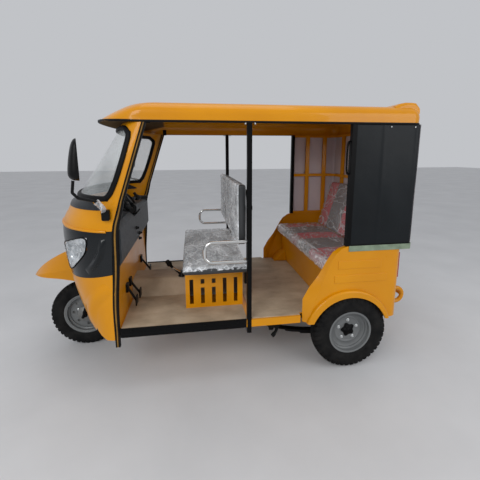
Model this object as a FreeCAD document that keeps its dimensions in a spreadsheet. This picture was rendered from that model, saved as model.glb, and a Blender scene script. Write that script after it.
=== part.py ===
"""Passenger three-wheeler (auto rickshaw) as a parametric assembly.

X runs rearward from the front axle, Y to the vehicle's right, Z up from the
ground.  Every sub-part is drawn in those axle coordinates and then moved by
origin_shift, so that the finished box stands with its middle on the origin.
"""
import FreeCAD, Part
import math
import os
import Sketcher

V = FreeCAD.Vector
os.makedirs("parts", exist_ok=True)
doc = FreeCAD.newDocument("auto_rickshaw")

# name, millimetres or degrees
SIZES = [
    # whole vehicle
    ("origin_shift", 1073.5), ("body_half_width", 640), ("wheelbase", 1970), ("eaves_height", 1719),
    ("floor_height", 427), ("sheet_wall", 8), ("fit_gap", 0.4), ("running_gap", 0.6),
    # wheels
    ("front_tyre_radius", 268), ("front_tyre_width", 104), ("front_rim_width", 86),
    ("rear_tyre_radius", 272), ("rear_tyre_width", 118), ("rear_rim_width", 96), ("rear_track", 1178),
    ("rim_radius", 168), ("bead_radius", 150), ("rim_steel", 5), ("front_axle_radius", 10),
    ("front_hub_radius", 42), ("front_hub_length", 92), ("rear_stub_radius", 16),
    ("rear_hub_radius", 52), ("rear_hub_length", 44), ("hub_proud", 3),
    # steering
    ("rake_angle", 22), ("fork_offset", 45), ("steering_stem_radius", 20), ("headstock_radius", 34),
    ("headstock_foot_height", 590), ("headstock_top_height", 815), ("fork_leg_radius", 19),
    ("fork_leg_spread", 168), ("fork_leg_length", 300), ("crown_thickness", 26),
    ("handlebar_height", 1173), ("handlebar_radius", 12), ("handlebar_half_width", 340),
    ("handlebar_sweep", 70), ("handlebar_rise", 60), ("grip_radius", 18), ("grip_length", 125),
    # front fender
    ("fender_tip_x", -353), ("fender_tip_height", 619), ("fender_half_width", 140), ("fender_wall", 5),
    ("fender_rear_x", 40), ("fender_ridge_height", 812), ("fender_edge_height", 588),
    ("fender_bar_height", 631),
    # cowl: nose and door-edge places at each height
    ("apron_foot_height", 367), ("apron_foot_nose_x", 97), ("door_foot_x", 365),
    ("apron_knee_height", 505), ("apron_knee_nose_x", 49),
    ("band_foot_height", 744), ("band_foot_nose_x", -25), ("band_foot_door_x", 377),
    ("lamp_height", 962), ("lamp_nose_x", -55), ("lamp_door_x", 389),
    ("belt_height", 1080), ("belt_nose_x", -50), ("belt_door_x", 396), ("belt_tilt", 1.5),
    ("shoulder_height", 1158), ("shoulder_nose_x", -12), ("shoulder_door_x", 416),
    ("scuttle_height", 1225), ("scuttle_nose_x", 22), ("scuttle_door_x", 437),
    ("screen_foot_height", 1260), ("screen_foot_nose_x", 70), ("screen_foot_door_x", 447),
    ("screen_head_nose_x", 402), ("screen_head_door_x", 604),
    ("band_edge_height", 803), ("band_tilt", 10), ("trim_foot_height", 1202),
    ("wheel_opening_half_width", 330), ("wheel_opening_top_height", 850),
    ("wheel_opening_foot_half_width", 480),
    ("seal_width", 27), ("glass_wall", 5), ("door_trim_foot_width", 29), ("door_trim_width", 38),
    ("door_trim_head_width", 26),
    # roof
    ("roof_half_width", 640), ("roof_nose_x", 228), ("roof_shoulder_x", 600), ("roof_tail_x", 2388),
    ("roof_crown_height", 1850), ("brow_rise", 32), ("soffit_wall", 6), ("roof_hump_height", 1862),
    ("roof_hump_x", 2205),
    # cab floor and front
    ("bulkhead_x", 385), ("dash_foot_height", 845), ("dash_top_height", 1112), ("dash_x", 415),
    ("dash_depth", 24), ("tunnel_foot_half_width", 180), ("tunnel_top_half_width", 100),
    ("tunnel_top_height", 562), ("mat_thickness", 6), ("sill_height", 38), ("sill_thickness", 6),
    # posts
    ("post_width", 30), ("post_depth", 34), ("b_post_x", 1219), ("b_post_foot_height", 340),
    ("c_post_x", 1884),
    # driver's seat
    ("seat_box_x", 810), ("seat_box_length", 412), ("seat_box_half_width", 420), ("seat_box_top_height", 735),
    ("slot_width", 27), ("slot_height", 186), ("slot_foot_height", 470), ("slot_pitch", 79.5),
    ("first_slot_x", 839),
    ("slot_bar_height", 592), ("slot_bar_width", 28),
    ("driver_cushion_x", 803), ("driver_cushion_length", 432), ("driver_cushion_half_width", 545),
    ("driver_cushion_thickness", 48), ("backrest_foot_height", 945), ("backrest_top_height", 1338),
    ("backrest_x", 1171), ("backrest_thickness", 66), ("backrest_half_width", 580), ("backrest_corner", 70),
    ("arm_rail_half_spacing", 614), ("arm_rail_radius", 11.5), ("arm_rail_x", 945),
    ("arm_rail_foot_height", 840), ("arm_rail_top_height", 975),
    # controls
    ("lever_radius", 8), ("knob_radius", 22), ("pedal_width", 70), ("pedal_height", 60),
    # power unit
    ("engine_length", 400), ("engine_half_width", 190), ("engine_height", 300), ("engine_x", 832),
    ("engine_drop", 120),
    ("shaft_radius", 24),
    # rear tub
    ("tub_front_x", 1612), ("tub_tail_x", 2324), ("tub_foot_height", 375), ("tub_top_height", 915),
    ("tub_corner", 60), ("arch_radius", 289), ("arch_x", 1950), ("arch_height", 262), ("flare_radius", 320),
    ("flare_x", 1944), ("flare_height", 282), ("flare_reach", 25), ("wheel_room", 16), ("lip_turn", 28),
    ("wheelhouse_depth", 150), ("wheelhouse_front_x", 1700), ("house_inner_half_width", 486),
    ("rib_reach", 4),
    ("flange_width", 20),
    # passenger seat
    ("bench_front_x", 1778), ("bench_top_height", 791), ("bench_thickness", 62), ("bench_half_width", 606),
    ("bench_back_x", 2205), ("rear_back_top_height", 1245), ("riser_foot_x", 1832),
    # canopy
    ("canopy_tube", 22), ("canopy_bar", 38), ("canopy_rail", 27), ("canopy_half_width", 618),
    ("canopy_rail_height", 1303), ("canopy_tail_x", 2352), ("canopy_corner", 70),
    ("tail_post_half_spacing", 420),
    ("curtain_wall", 6), ("curtain_foot_height", 918),
    ("hem_height", 38), ("window_half_width", 332), ("window_foot_height", 1342), ("window_top_height", 1648),
    ("window_frame_width", 26),
    # running gear
    ("rail_half_spacing", 300), ("rail_width", 46), ("rail_height", 58), ("frame_tail_x", 2300),
    ("axle_tube_radius", 34), ("final_drive_radius", 95), ("leaf_width", 50), ("leaf_wall", 9),
    ("leaf_half_spacing", 430),
    ("bumper_radius", 16), ("bumper_half_spacing", 450), ("bumper_tail_x", 2500),
    ("bumper_foot_height", 393), ("bumper_head_height", 501), ("silencer_radius", 58),
    # lamps and mirrors
    ("mirror_width", 170), ("mirror_height", 224), ("mirror_depth", 44), ("mirror_reach", 762),
    ("mirror_toe", 19), ("mirror_foot_height", 1394), ("mirror_x", 262),
    ("lamp_proud", 7), ("lamp_wall", 14), ("tail_lamp_width", 70), ("tail_lamp_height", 190),
]


class Size(float):
    """A sheet value that carries its own expression through plain arithmetic."""

    def __new__(cls, number, text):
        made = float.__new__(cls, number)
        made.text = text
        return made

    def __add__(self, other):
        return Size(float(self) + float(other), f"({self.text} + {words(other)})")

    def __radd__(self, other):
        return Size(float(other) + float(self), f"({words(other)} + {self.text})")

    def __sub__(self, other):
        return Size(float(self) - float(other), f"({self.text} - {words(other)})")

    def __rsub__(self, other):
        return Size(float(other) - float(self), f"({words(other)} - {self.text})")

    def __mul__(self, other):
        return Size(float(self) * float(other), f"({self.text} * {words(other)})")

    __rmul__ = __mul__

    def __truediv__(self, other):
        return Size(float(self) / float(other), f"({self.text} / {words(other)})")

    def __neg__(self):
        return Size(-float(self), f"(-1 * {self.text})")


def words(number):
    return number.text if isinstance(number, Size) else f"{float(number):.6f}"


sheet = doc.addObject("Spreadsheet::Sheet", "sizes")
for row, (alias, value) in enumerate(SIZES, 1):
    sheet.set(f"A{row}", alias)
    sheet.set(f"B{row}", str(value))
    sheet.setAlias(f"B{row}", alias)
doc.recompute()


class Sizes:
    """S.wheelbase and the like read the spreadsheet."""

    def __getattr__(self, alias):
        return Size(float(sheet.get(alias)), f"sizes.{alias}")


S = Sizes()
parts = []


def bind(thing, prop, value):
    """Give a property its value, through the sheet where it comes from there."""
    if isinstance(value, Size):
        thing.setExpression(prop, value.text)
    else:
        setattr(thing, prop, value)


def place(thing, x=0, y=0, z=0, turn=None):
    """Set a placement in axle coordinates; turn is (axis, degrees)."""
    if turn:
        thing.Placement = FreeCAD.Placement(V(0, 0, 0), FreeCAD.Rotation(*turn))
    for axis, value in (("x", x), ("y", y), ("z", z)):
        if isinstance(value, Size):
            thing.setExpression(f"Placement.Base.{axis}", value.text)
        elif value:
            base = thing.Placement.Base
            setattr(base, axis, float(value))
            thing.Placement = FreeCAD.Placement(base, thing.Placement.Rotation)


def keep(thing, name, x=0, y=0, z=0):
    """Name a finished sub-part and carry it from axle coordinates to the frame."""
    thing.Label = name
    place(thing, x - S.origin_shift, y, z)
    parts.append(thing)
    return thing


def feature(name, shape, kept=True):
    """A sub-part whose form is worked out by Part functions in axle coordinates."""
    made = doc.addObject("Part::Feature", name)
    made.Shape = shape
    return keep(made, name) if kept else made


def body(name):
    return doc.addObject("PartDesign::Body", name)


def sketch(owner, name, role, points):
    """A closed outline on one of the body's own planes, each corner tied to the sheet."""
    made = owner.newObject("Sketcher::SketchObject", name)
    plane = [f for f in owner.Origin.OriginFeatures if f.Role == role][0]
    made.AttachmentSupport = [(plane, "")]
    made.MapMode = "FlatFace"
    corners = [V(float(u), float(v), 0) for u, v in points]
    count = len(corners)
    for i in range(count):
        made.addGeometry(Part.LineSegment(corners[i], corners[(i + 1) % count]))
    for i in range(count):
        made.addConstraint(Sketcher.Constraint("Coincident", i, 2, (i + 1) % count, 1))
    for i, (u, v) in enumerate(points):
        for kind, value in (("DistanceX", u), ("DistanceY", v)):
            number = made.addConstraint(Sketcher.Constraint(kind, -1, 1, i, 1, float(value)))
            if isinstance(value, Size):
                made.setExpression(f"Constraints[{number}]", value.text)
    return made


def circles(owner, name, role, rounds):
    """Full circles (u, v, radius) on one of the body's own planes."""
    made = owner.newObject("Sketcher::SketchObject", name)
    plane = [f for f in owner.Origin.OriginFeatures if f.Role == role][0]
    made.AttachmentSupport = [(plane, "")]
    made.MapMode = "FlatFace"
    for i, (u, v, radius) in enumerate(rounds):
        made.addGeometry(Part.Circle(V(float(u), float(v), 0), V(0, 0, 1), float(radius)))
        for kind, value in (("DistanceX", u), ("DistanceY", v)):
            number = made.addConstraint(Sketcher.Constraint(kind, -1, 1, i, 3, float(value)))
            if isinstance(value, Size):
                made.setExpression(f"Constraints[{number}]", value.text)
        number = made.addConstraint(Sketcher.Constraint("Radius", i, float(radius)))
        if isinstance(radius, Size):
            made.setExpression(f"Constraints[{number}]", radius.text)
    return made


def pad(owner, name, profile, length, middle=True, flip=False, taper=0):
    made = owner.newObject("PartDesign::Pad", name)
    made.Profile = profile
    bind(made, "Length", length)
    made.Midplane = middle
    made.Reversed = flip
    if taper:
        made.TaperAngle = taper
    profile.Visibility = False
    return made


def pocket(owner, name, profile, length=None):
    """Cut both ways from the sketch plane, by length in all or right through."""
    made = owner.newObject("PartDesign::Pocket", name)
    made.Profile = profile
    made.Midplane = True
    if length is None:
        made.Type = "ThroughAll"
    else:
        bind(made, "Length", length)
    profile.Visibility = False
    return made


def turned(owner, name, profile, axis="V_Axis"):
    made = owner.newObject("PartDesign::Revolution", name)
    made.Profile = profile
    made.ReferenceAxis = (profile, [axis])
    made.Angle = 360
    profile.Visibility = False
    return made


def rounded(owner, name, base, wanted, radius):
    """Round those edges of a feature that the test wanted(edge) picks."""
    doc.recompute()
    names = [f"Edge{i}" for i, edge in enumerate(base.Shape.Edges, 1) if wanted(edge)]
    made = owner.newObject("PartDesign::Fillet", name)
    made.Base = (base, names)
    bind(made, "Radius", radius)
    return made


def along(axis):
    """A test for straight edges that run along one axis."""
    def test(edge):
        if not isinstance(edge.Curve, Part.Line):
            return False
        way = edge.tangentAt(edge.FirstParameter)
        return abs(getattr(way, axis)) > 0.999
    return test


def box(name, x, y, z, length, width, height, turn=None):
    made = doc.addObject("Part::Box", name)
    for prop, value in (("Length", length), ("Width", width), ("Height", height)):
        bind(made, prop, value)
    place(made, x, y, z, turn)
    return made


def rod(name, start, end, radius, inner=None):
    """A round bar or tube between two points."""
    way = V(*map(float, end)) - V(*map(float, start))
    made = doc.addObject("Part::Cylinder", name)
    bind(made, "Radius", radius)
    made.Height = way.Length
    made.Placement = FreeCAD.Placement(V(0, 0, 0), FreeCAD.Rotation(V(0, 0, 1), way))
    place(made, *start)
    return made


def fused(name, pieces):
    made = doc.addObject("Part::MultiFuse", name)
    made.Shapes = pieces
    made.Refine = False
    return made


def less(name, base, tool):
    made = doc.addObject("Part::Cut", name)
    made.Base = base
    made.Tool = tool
    return made


def pair(name, one):
    """The piece and its mirror image across the middle plane, as one sub-part."""
    other = doc.addObject("Part::Mirroring", name + "_mirror")
    other.Source = one
    other.Base = V(0, 0, 0)
    other.Normal = V(0, 1, 0)
    both = doc.addObject("Part::Compound", name)
    both.Links = [one, other]
    return keep(both, name)


def mirrored(shape):
    return shape.mirror(V(0, 0, 0), V(0, 1, 0))


def prism(outline, depth_from, depth_to, axes="xz"):
    """A solid whose outline lies in the xz (or yz, xy) plane, run along the third axis."""
    lay = {
        "xz": lambda u, v: V(u, depth_from, v),
        "yz": lambda u, v: V(depth_from, u, v),
        "xy": lambda u, v: V(u, v, depth_from),
    }[axes]
    run = {"xz": V(0, 1, 0), "yz": V(1, 0, 0), "xy": V(0, 0, 1)}[axes]
    corners = [lay(float(u), float(v)) for u, v in outline]
    return Part.Face(Part.makePolygon(corners + corners[:1])).extrude(run * (depth_to - depth_from))


def bent_tube(points, radius, bend, inner=0):
    """Sweep a round section along straight runs joined by tangent bends."""
    spots = [V(*map(float, p)) for p in points]
    edges = []
    last = spots[0]
    for before, here, after in zip(spots, spots[1:], spots[2:]):
        a = (before - here).normalize()
        b = (after - here).normalize()
        half = a.getAngle(b) / 2
        back = bend / math.tan(half)
        middle = (a + b).normalize()
        centre = here + middle * (bend / math.sin(half))
        start, end = here + a * back, here + b * back
        edges.append(Part.makeLine(last, start))
        edges.append(Part.Arc(start, centre - middle * bend, end).toShape())
        last = end
    edges.append(Part.makeLine(last, spots[-1]))
    spine = Part.Wire(edges)
    way = spots[1] - spots[0]
    ring = Part.Wire(Part.makeCircle(float(radius), spots[0], way))
    solid = spine.makePipeShell([ring], True, True)
    return solid


def common_fuse(shapes):
    whole = shapes[0]
    for shape in shapes[1:]:
        whole = whole.fuse(shape)
    return whole


# Wheels: profiles are (radius, along the axle) and turn about the body's own Y axis.
def tyre(name, radius, width, rim_width, x, y, z):
    owner = body(name + "_body")
    half, seat = width / 2, rim_width / 2 - S.rim_steel - S.fit_gap
    bead = S.bead_radius + S.fit_gap
    side = [(bead, seat), (S.rim_radius + 4, seat), (S.rim_radius + 30, half),
            (radius - 30, half), (radius - 7, half * 0.66), (radius, half * 0.25)]
    points = [(r, -v) for r, v in side] + [(r, v) for r, v in reversed(side)]
    outline = sketch(owner, name + "_profile", "XY_Plane", points)
    made = turned(owner, name + "_turned", outline)

    def shoulder(edge):
        return isinstance(edge.Curve, Part.Circle) and edge.Curve.Radius > float(S.rim_radius) + 20 \
            and edge.Curve.Radius < float(radius) - 3
    made = rounded(owner, name + "_shoulders", made, shoulder, 12)
    owner.Tip = made
    return keep(owner, name, x, y, z)


def rim(name, width, hub_radius, hub_length, hub_low, bore, disc, x, y, z):
    """Pressed steel disc wheel with its hub; the web stands at disc, the hub starts at hub_low."""
    owner = body(name + "_body")
    half, steel, seat = width / 2, S.rim_steel, S.bead_radius
    well = seat - 10
    hub_high = hub_low + hub_length
    points = [(bore, hub_low), (hub_radius, hub_low), (hub_radius, disc), (well - steel, disc),
              (well - steel, -13), (seat - steel, -20), (seat - steel, -half), (S.rim_radius, -half),
              (S.rim_radius, -half + steel), (seat, -half + steel), (seat, -22), (well, -13),
              (well, 13), (seat, 22), (seat, half - steel), (S.rim_radius, half - steel),
              (S.rim_radius, half), (seat - steel, half), (seat - steel, 20), (well - steel, 13),
              (well - steel, disc + steel), (hub_radius, disc + steel), (hub_radius, hub_high),
              (bore, hub_high)]
    outline = sketch(owner, name + "_profile", "XY_Plane", points)
    made = turned(owner, name + "_turned", outline)
    # one hand hole, then a ring of them
    hole = circles(owner, name + "_hole", "XZ_Plane", [(0, 105, 12)])
    cut = pocket(owner, name + "_hole_cut", hole, hub_length)
    ring = owner.newObject("PartDesign::PolarPattern", name + "_holes")
    ring.Originals = [cut]
    ring.Axis = (outline, ["V_Axis"])
    ring.Angle = 360
    ring.Occurrences = 8
    owner.Tip = ring
    return keep(owner, name, x, y, z)


bore_front = S.front_axle_radius + S.running_gap
bore_rear = S.rear_stub_radius + S.running_gap
tyre("front_tyre", S.front_tyre_radius, S.front_tyre_width, S.front_rim_width, 0, 0, S.front_tyre_radius)
rim("front_rim", S.front_rim_width, S.front_hub_radius, S.front_hub_length, -S.front_hub_length / 2,
    bore_front, -3, 0, 0, S.front_tyre_radius)
for side, sign in (("left", -1), ("right", 1)):
    y = S.rear_track / 2 * sign
    tyre(f"rear_{side}_tyre", S.rear_tyre_radius, S.rear_tyre_width, S.rear_rim_width,
         S.wheelbase, y, S.rear_tyre_radius)
    rim(f"rear_{side}_rim", S.rear_rim_width, S.rear_hub_radius, S.rear_hub_length,
        -S.hub_proud if sign < 0 else S.hub_proud - S.rear_hub_length, bore_rear,
        0 if sign < 0 else -S.rim_steel, S.wheelbase, y, S.rear_tyre_radius)

# Front fender: a beaked shell, sections across the vehicle from tip to tail.
# x, share of half width, edge height, crease height, ridge height
tip, rear = float(S.fender_tip_x), float(S.fender_rear_x)
edge_z, ridge_z = float(S.fender_edge_height), float(S.fender_ridge_height)
FENDER = [
    (tip, 0.10, float(S.fender_tip_height) - 9, float(S.fender_tip_height) - 5, float(S.fender_tip_height)),
    (tip + 43, 0.5, edge_z + 31, edge_z + 42, ridge_z - 142),
    (tip + 103, 0.82, edge_z + 32, edge_z + 62, ridge_z - 96),
    (tip + 195, 1.0, edge_z + 28, edge_z + 78, ridge_z - 45),
    (tip + 275, 1.0, edge_z + 12, edge_z + 90, ridge_z - 12),
    (rear, 1.0, edge_z, edge_z + 98, ridge_z),
]


def fender_solid(inset, drop, lengthen):
    wires = []
    for x, share, edge_at, crease, ridge in FENDER:
        half = max(float(S.fender_half_width) * share - inset, 3)
        x = x + (inset * 1.6 if x == tip else (lengthen if x == rear else 0))
        ring = [V(x, -half, edge_at - drop), V(x, -half, crease - inset * 0.6), V(x, 0, ridge - inset),
                V(x, half, crease - inset * 0.6), V(x, half, edge_at - drop)]
        wires.append(Part.makePolygon(ring + ring[:1]))
    return Part.makeLoft(wires, True, False)


# Steering: everything on the raked axis, whose foot is fork_offset behind the axle.
rake = math.radians(float(S.rake_angle))
way_up = V(math.sin(rake), 0, math.cos(rake))
foot = V(0, 0, float(S.front_tyre_radius)) + V(math.cos(rake), 0, -math.sin(rake)) * float(S.fork_offset)


def on_axis(height):
    """The point of the steering axis at a height above the ground."""
    return foot + way_up * ((float(height) - foot.z) / way_up.z)


half_spread = S.fork_leg_spread / 2
axle = V(0, 0, float(S.front_tyre_radius))
crown = axle + way_up * float(S.fork_leg_length)
pieces = [rod("axle_pin", (0, -half_spread, S.front_tyre_radius), (0, half_spread, S.front_tyre_radius),
              S.front_axle_radius)]
for sign in (-1, 1):
    low = (0, half_spread * sign, S.front_tyre_radius)
    high = (crown.x, half_spread * sign, crown.z)
    pieces.append(rod("fork_leg", low, high, S.fork_leg_radius))
crown_axis = foot + way_up * float(S.fork_leg_length)
tilt = (V(0, 1, 0), float(S.rake_angle))
edge = crown - V(math.cos(rake), 0, -math.sin(rake)) * 28
pieces.append(box("fork_crown", edge.x, -half_spread - 24, edge.z, 110, S.fork_leg_spread + 48,
                  S.crown_thickness, tilt))
pieces.append(rod("fork_stem", tuple(crown_axis), tuple(on_axis(S.headstock_top_height + 60)),
                  S.steering_stem_radius))
pieces.append(rod("fender_post", (crown.x - 20, 0, crown.z + 8), (-10, 0, 640), 14))
fender_bar = doc.addObject("Part::Feature", "fender_bar")
fender_bar.Shape = Part.makeBox(40, 400, 8, V(-40, -200, float(S.fender_bar_height))).common(
    fender_solid(float(S.fender_wall + S.fit_gap), 12, 10))
pieces.append(fender_bar)
keep(fused("steering_fork", pieces), "steering_fork")

pieces = []
for sign in (-1, 1):
    y = (half_spread + 38) * sign
    low = axle + way_up * 20 + V(0, float(y), 0)
    for step in range(9):
        centre = low + way_up * (26 + step * 24)
        ring = doc.addObject("Part::Cylinder", "spring_coil")
        ring.Radius = 17
        ring.Height = 13
        ring.Placement = FreeCAD.Placement(centre, FreeCAD.Rotation(V(0, 0, 1), way_up))
        pieces.append(ring)
    pieces.append(rod("spring_rod", tuple(low), tuple(low + way_up * 252), 12))
    pieces.append(rod("spring_eye", (low.x, (half_spread + 19.4) * sign, low.z),
                      (low.x, (half_spread + 56) * sign, low.z), 12))
keep(fused("fork_springs", pieces), "fork_springs")

column_foot = on_axis(S.headstock_top_height + 60)
grip_mid = on_axis(S.handlebar_height)
hub = on_axis(S.handlebar_height - S.handlebar_rise)
bar = []
for sign in (-1, 1):
    bar.append(bent_tube([
        (hub.x, 0, hub.z),
        (grip_mid.x - 20, 120 * sign, float(S.handlebar_height)),
        (grip_mid.x - 20, 0.62 * float(S.handlebar_half_width) * sign, float(S.handlebar_height)),
        (grip_mid.x + float(S.handlebar_sweep) - 20, float(S.handlebar_half_width) * sign,
         float(S.handlebar_height) - 18)], S.handlebar_radius, 40))
column = Part.makeCylinder(24, (hub - column_foot).Length + 16, column_foot, way_up)
head = Part.makeBox(120, 150, 60, V(hub.x - 62, -75, hub.z - 22))
head = head.makeFillet(18, head.Edges)
feature("handlebar", common_fuse([column, head] + bar))

grips = []
for sign in (-1, 1):
    end = V(grip_mid.x + float(S.handlebar_sweep) - 20, float(S.handlebar_half_width) * sign,
            float(S.handlebar_height) - 18)
    knee = V(grip_mid.x - 20, 0.62 * float(S.handlebar_half_width) * sign, float(S.handlebar_height))
    out = (end - knee).normalize()
    start = end - out * (float(S.grip_length) - 6)
    sleeve = Part.makeCylinder(float(S.grip_radius), float(S.grip_length), start, out)
    sleeve = sleeve.cut(Part.makeCylinder(float(S.handlebar_radius + S.fit_gap), float(S.grip_length) - 5.6,
                                          start, out))
    lever = bent_tube([start + V(-20, -7 * sign, 1), start + V(-48, 0, 4),
                       end + V(-44, 0, 2)], 5.5, 20)
    clamp = Part.makeCylinder(25, 15, start - out * 16, out)
    clamp = clamp.cut(Part.makeCylinder(float(S.handlebar_radius + S.fit_gap), 60, start - out * 30, out))
    grips += [sleeve, clamp.fuse(lever)]
feature("handlebar_grips", Part.makeCompound(grips))

feature("front_fender", fender_solid(0, 0, 0).cut(fender_solid(float(S.fender_wall), 12, 10)))

# Cowl: half ellipses in plan, from the nose round to the door edges.
# height, nose x, door-edge x
LOWER = [
    (S.apron_foot_height, S.apron_foot_nose_x, S.door_foot_x),
    (S.apron_knee_height, S.apron_knee_nose_x, S.door_foot_x),
    (S.band_foot_height, S.band_foot_nose_x, S.band_foot_door_x),
    (S.lamp_height, S.lamp_nose_x, S.lamp_door_x),
    (S.belt_height, S.belt_nose_x, S.belt_door_x),
    (S.shoulder_height, S.shoulder_nose_x, S.shoulder_door_x),
]
UPPER = [
    (S.shoulder_height, S.shoulder_nose_x, S.shoulder_door_x),
    (S.scuttle_height, S.scuttle_nose_x, S.scuttle_door_x),
    (S.screen_foot_height, S.screen_foot_nose_x, S.screen_foot_door_x),
    (S.eaves_height, S.screen_head_nose_x, S.screen_head_door_x),
]


def half_ellipse(side, nose, half, height):
    """Half an ellipse in plan, round the nose from one side to the other."""
    reach = side - nose
    middle = V(side, 0, height)
    if half > reach:
        whole = Part.Ellipse(V(side, half, height), V(nose, 0, height), middle)
    else:
        whole = Part.Ellipse(V(nose, 0, height), V(side, half, height), middle)
    ends = [whole.parameter(V(side, y, height)) for y in (-half, half)]
    low, high = min(ends), max(ends)
    arc = whole.toShape(low, high)
    if abs(arc.valueAt((low + high) / 2).x - nose) > 1:
        arc = whole.toShape(high, low + 2 * math.pi)
    return arc


def cowl_wire(height, nose, door, inset, back):
    """One plan section: a half ellipse, closed by a straight line behind the door edge."""
    half = float(S.body_half_width) - inset
    nose, door = float(nose) + inset, float(door)
    curve = half_ellipse(door, nose, half, float(height))
    ends = [V(door, half, float(height)), V(door + back, half, float(height)),
            V(door + back, -half, float(height)), V(door, -half, float(height))]
    return Part.Wire([curve, Part.makeLine(ends[0], ends[1]), Part.makeLine(ends[1], ends[2]),
                      Part.makeLine(ends[2], ends[3])])


def cowl_solid(table, inset, back, straight):
    return Part.makeLoft([cowl_wire(*row, inset, back) for row in table], True, straight)


def cowl_shell(table, outer, inner, straight):
    """The skin between two insets, open at the back along the door edges."""
    skin = cowl_solid(table, outer, 60, straight).cut(cowl_solid(table, inner, 120, straight))
    line = [(float(door), float(height)) for height, _, door in table]
    low, high = line[0], line[-1]
    block = prism([(low[0], low[1] - 5)] + line + [(high[0], high[1] + 5), (high[0] + 900, high[1] + 5),
                  (high[0] + 900, low[1] - 5)], -700, 700)
    return skin.cut(block)


wall = float(S.sheet_wall)
lower = cowl_shell(LOWER, 0, wall, False)
upper = cowl_shell(UPPER, 0, wall, True)


def slope(angle, x0, z0, x):
    return z0 + (x - x0) * math.tan(math.radians(float(angle)))


def under(angle, x0, z0, lift=0):
    """Everything below a plane that tilts along the vehicle."""
    return prism([(-400, 100), (900, 100), (900, slope(angle, x0, z0, 900) + lift),
                  (-400, slope(angle, x0, z0, -400) + lift)], -800, 800)


def over(angle, x0, z0, lift=0):
    return prism([(-400, 2000), (900, 2000), (900, slope(angle, x0, z0, 900) + lift),
                  (-400, slope(angle, x0, z0, -400) + lift)], -800, 800)


band_at = (S.band_tilt, float(S.door_foot_x), float(S.band_edge_height))
belt_at = (S.belt_tilt, float(S.belt_door_x), float(S.belt_height))
seam = float(S.fit_gap)
mouth_half, mouth_foot = float(S.wheel_opening_half_width), float(S.wheel_opening_foot_half_width)
mouth_top = float(S.wheel_opening_top_height)
mouth = prism([(-mouth_foot - 60, 200), (-mouth_foot - 10, 385), (-mouth_foot + 40, 505),
               (-mouth_half - 20, 660),
               (-mouth_half + 40, mouth_top - 60), (-mouth_half + 110, mouth_top),
               (mouth_half - 110, mouth_top), (mouth_half - 40, mouth_top - 60), (mouth_half + 20, 660),
               (mouth_foot - 40, 505), (mouth_foot + 10, 385), (mouth_foot + 60, 200)], -300, 330, "yz")
foot_z, foot_x = float(S.apron_foot_height), float(S.door_foot_x)
apron_corner = prism([(-300, foot_z - 5), (foot_x - 45, foot_z - 5), (foot_x - 65, foot_z + 9),
                      (foot_x - 90, foot_z + 24),
                      (foot_x - 112, foot_z + 50), (foot_x - 128, foot_z + 90), (-300, foot_z + 90)],
                      -700, 700)
feature("front_apron", lower.common(under(*band_at)).cut(mouth).cut(apron_corner))

# Corner lamps: teardrop outlines seen from the front.
# half-width side, height
LAMP = [(601, 1037), (600, 962), (578, 909), (542, 866), (502, 829), (455, 800), (405, 790), (350, 800),
        (305, 832), (288, 885), (318, 932), (392, 968), (479, 994), (557, 1024)]
centre = (sum(u for u, v in LAMP) / len(LAMP), sum(v for u, v in LAMP) / len(LAMP))


def lamp_prism(grow):
    rows = []
    for u, v in LAMP:
        reach = math.hypot(u - centre[0], v - centre[1])
        rows.append((centre[0] + (u - centre[0]) * (1 + grow / reach),
                     centre[1] + (v - centre[1]) * (1 + grow / reach)))
    return prism(rows, -400, 360, "yz")


lamp_skin = cowl_shell(LOWER, -float(S.lamp_proud), float(S.lamp_wall), False)
lamp = lamp_skin.common(lamp_prism(0))
band = lower.common(over(*band_at, seam)).common(under(*belt_at)).cut(mouth)
for hole in (lamp_prism(seam), mirrored(lamp_prism(seam))):
    band = band.cut(hole)
feature("headlight_band", band)
feature("headlamps", Part.makeCompound([lamp, mirrored(lamp)]))
nose = lower.common(over(*belt_at, seam))
trim_z, screen_z = float(S.trim_foot_height), float(S.screen_foot_height)


def trim_outline(grow):
    """Side outline of the grey strip under the screen: it dies out to a point beside the lamp."""
    return prism([(-300, trim_z - grow), (330, trim_z + 4 - grow), (346 + grow, trim_z + 9),
                  (343 + grow, trim_z + 15),
                  (283, trim_z + 50 + grow), (246, screen_z - seam + grow),
                  (-300, screen_z - seam + grow)], -800, 800)


brow_front, brow_back = float(S.roof_nose_x), float(S.roof_shoulder_x)


def below_brow(lift):
    """Everything under the roof's front edge, which rises forward from the eaves in one arc."""
    def spot(share):
        return V(brow_back - share * (brow_back - brow_front), -700,
                 float(S.eaves_height) + float(S.brow_rise) * share * share + lift)
    start, middle, end = spot(0), spot(0.6), spot(1.2)
    base = float(S.eaves_height) - 60
    outline = Part.Wire([Part.Arc(start, middle, end).toShape(),
                         Part.makeLine(end, V(end.x, -700, base)),
                         Part.makeLine(V(end.x, -700, base), V(start.x, -700, base)),
                         Part.makeLine(V(start.x, -700, base), start)])
    return Part.Face(outline).extrude(V(0, 1400, 0))


nose_top = upper.common(prism([(-300, 1100), (700, 1100), (700, trim_z + 6), (-300, trim_z + 6)], -800, 800))
feature("nose_panel", nose.fuse(nose_top.cut(trim_outline(seam))))
trim_skin = cowl_shell(UPPER, -3, wall, True)
feature("windscreen_base_trim", trim_skin.common(trim_outline(0)))

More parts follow.
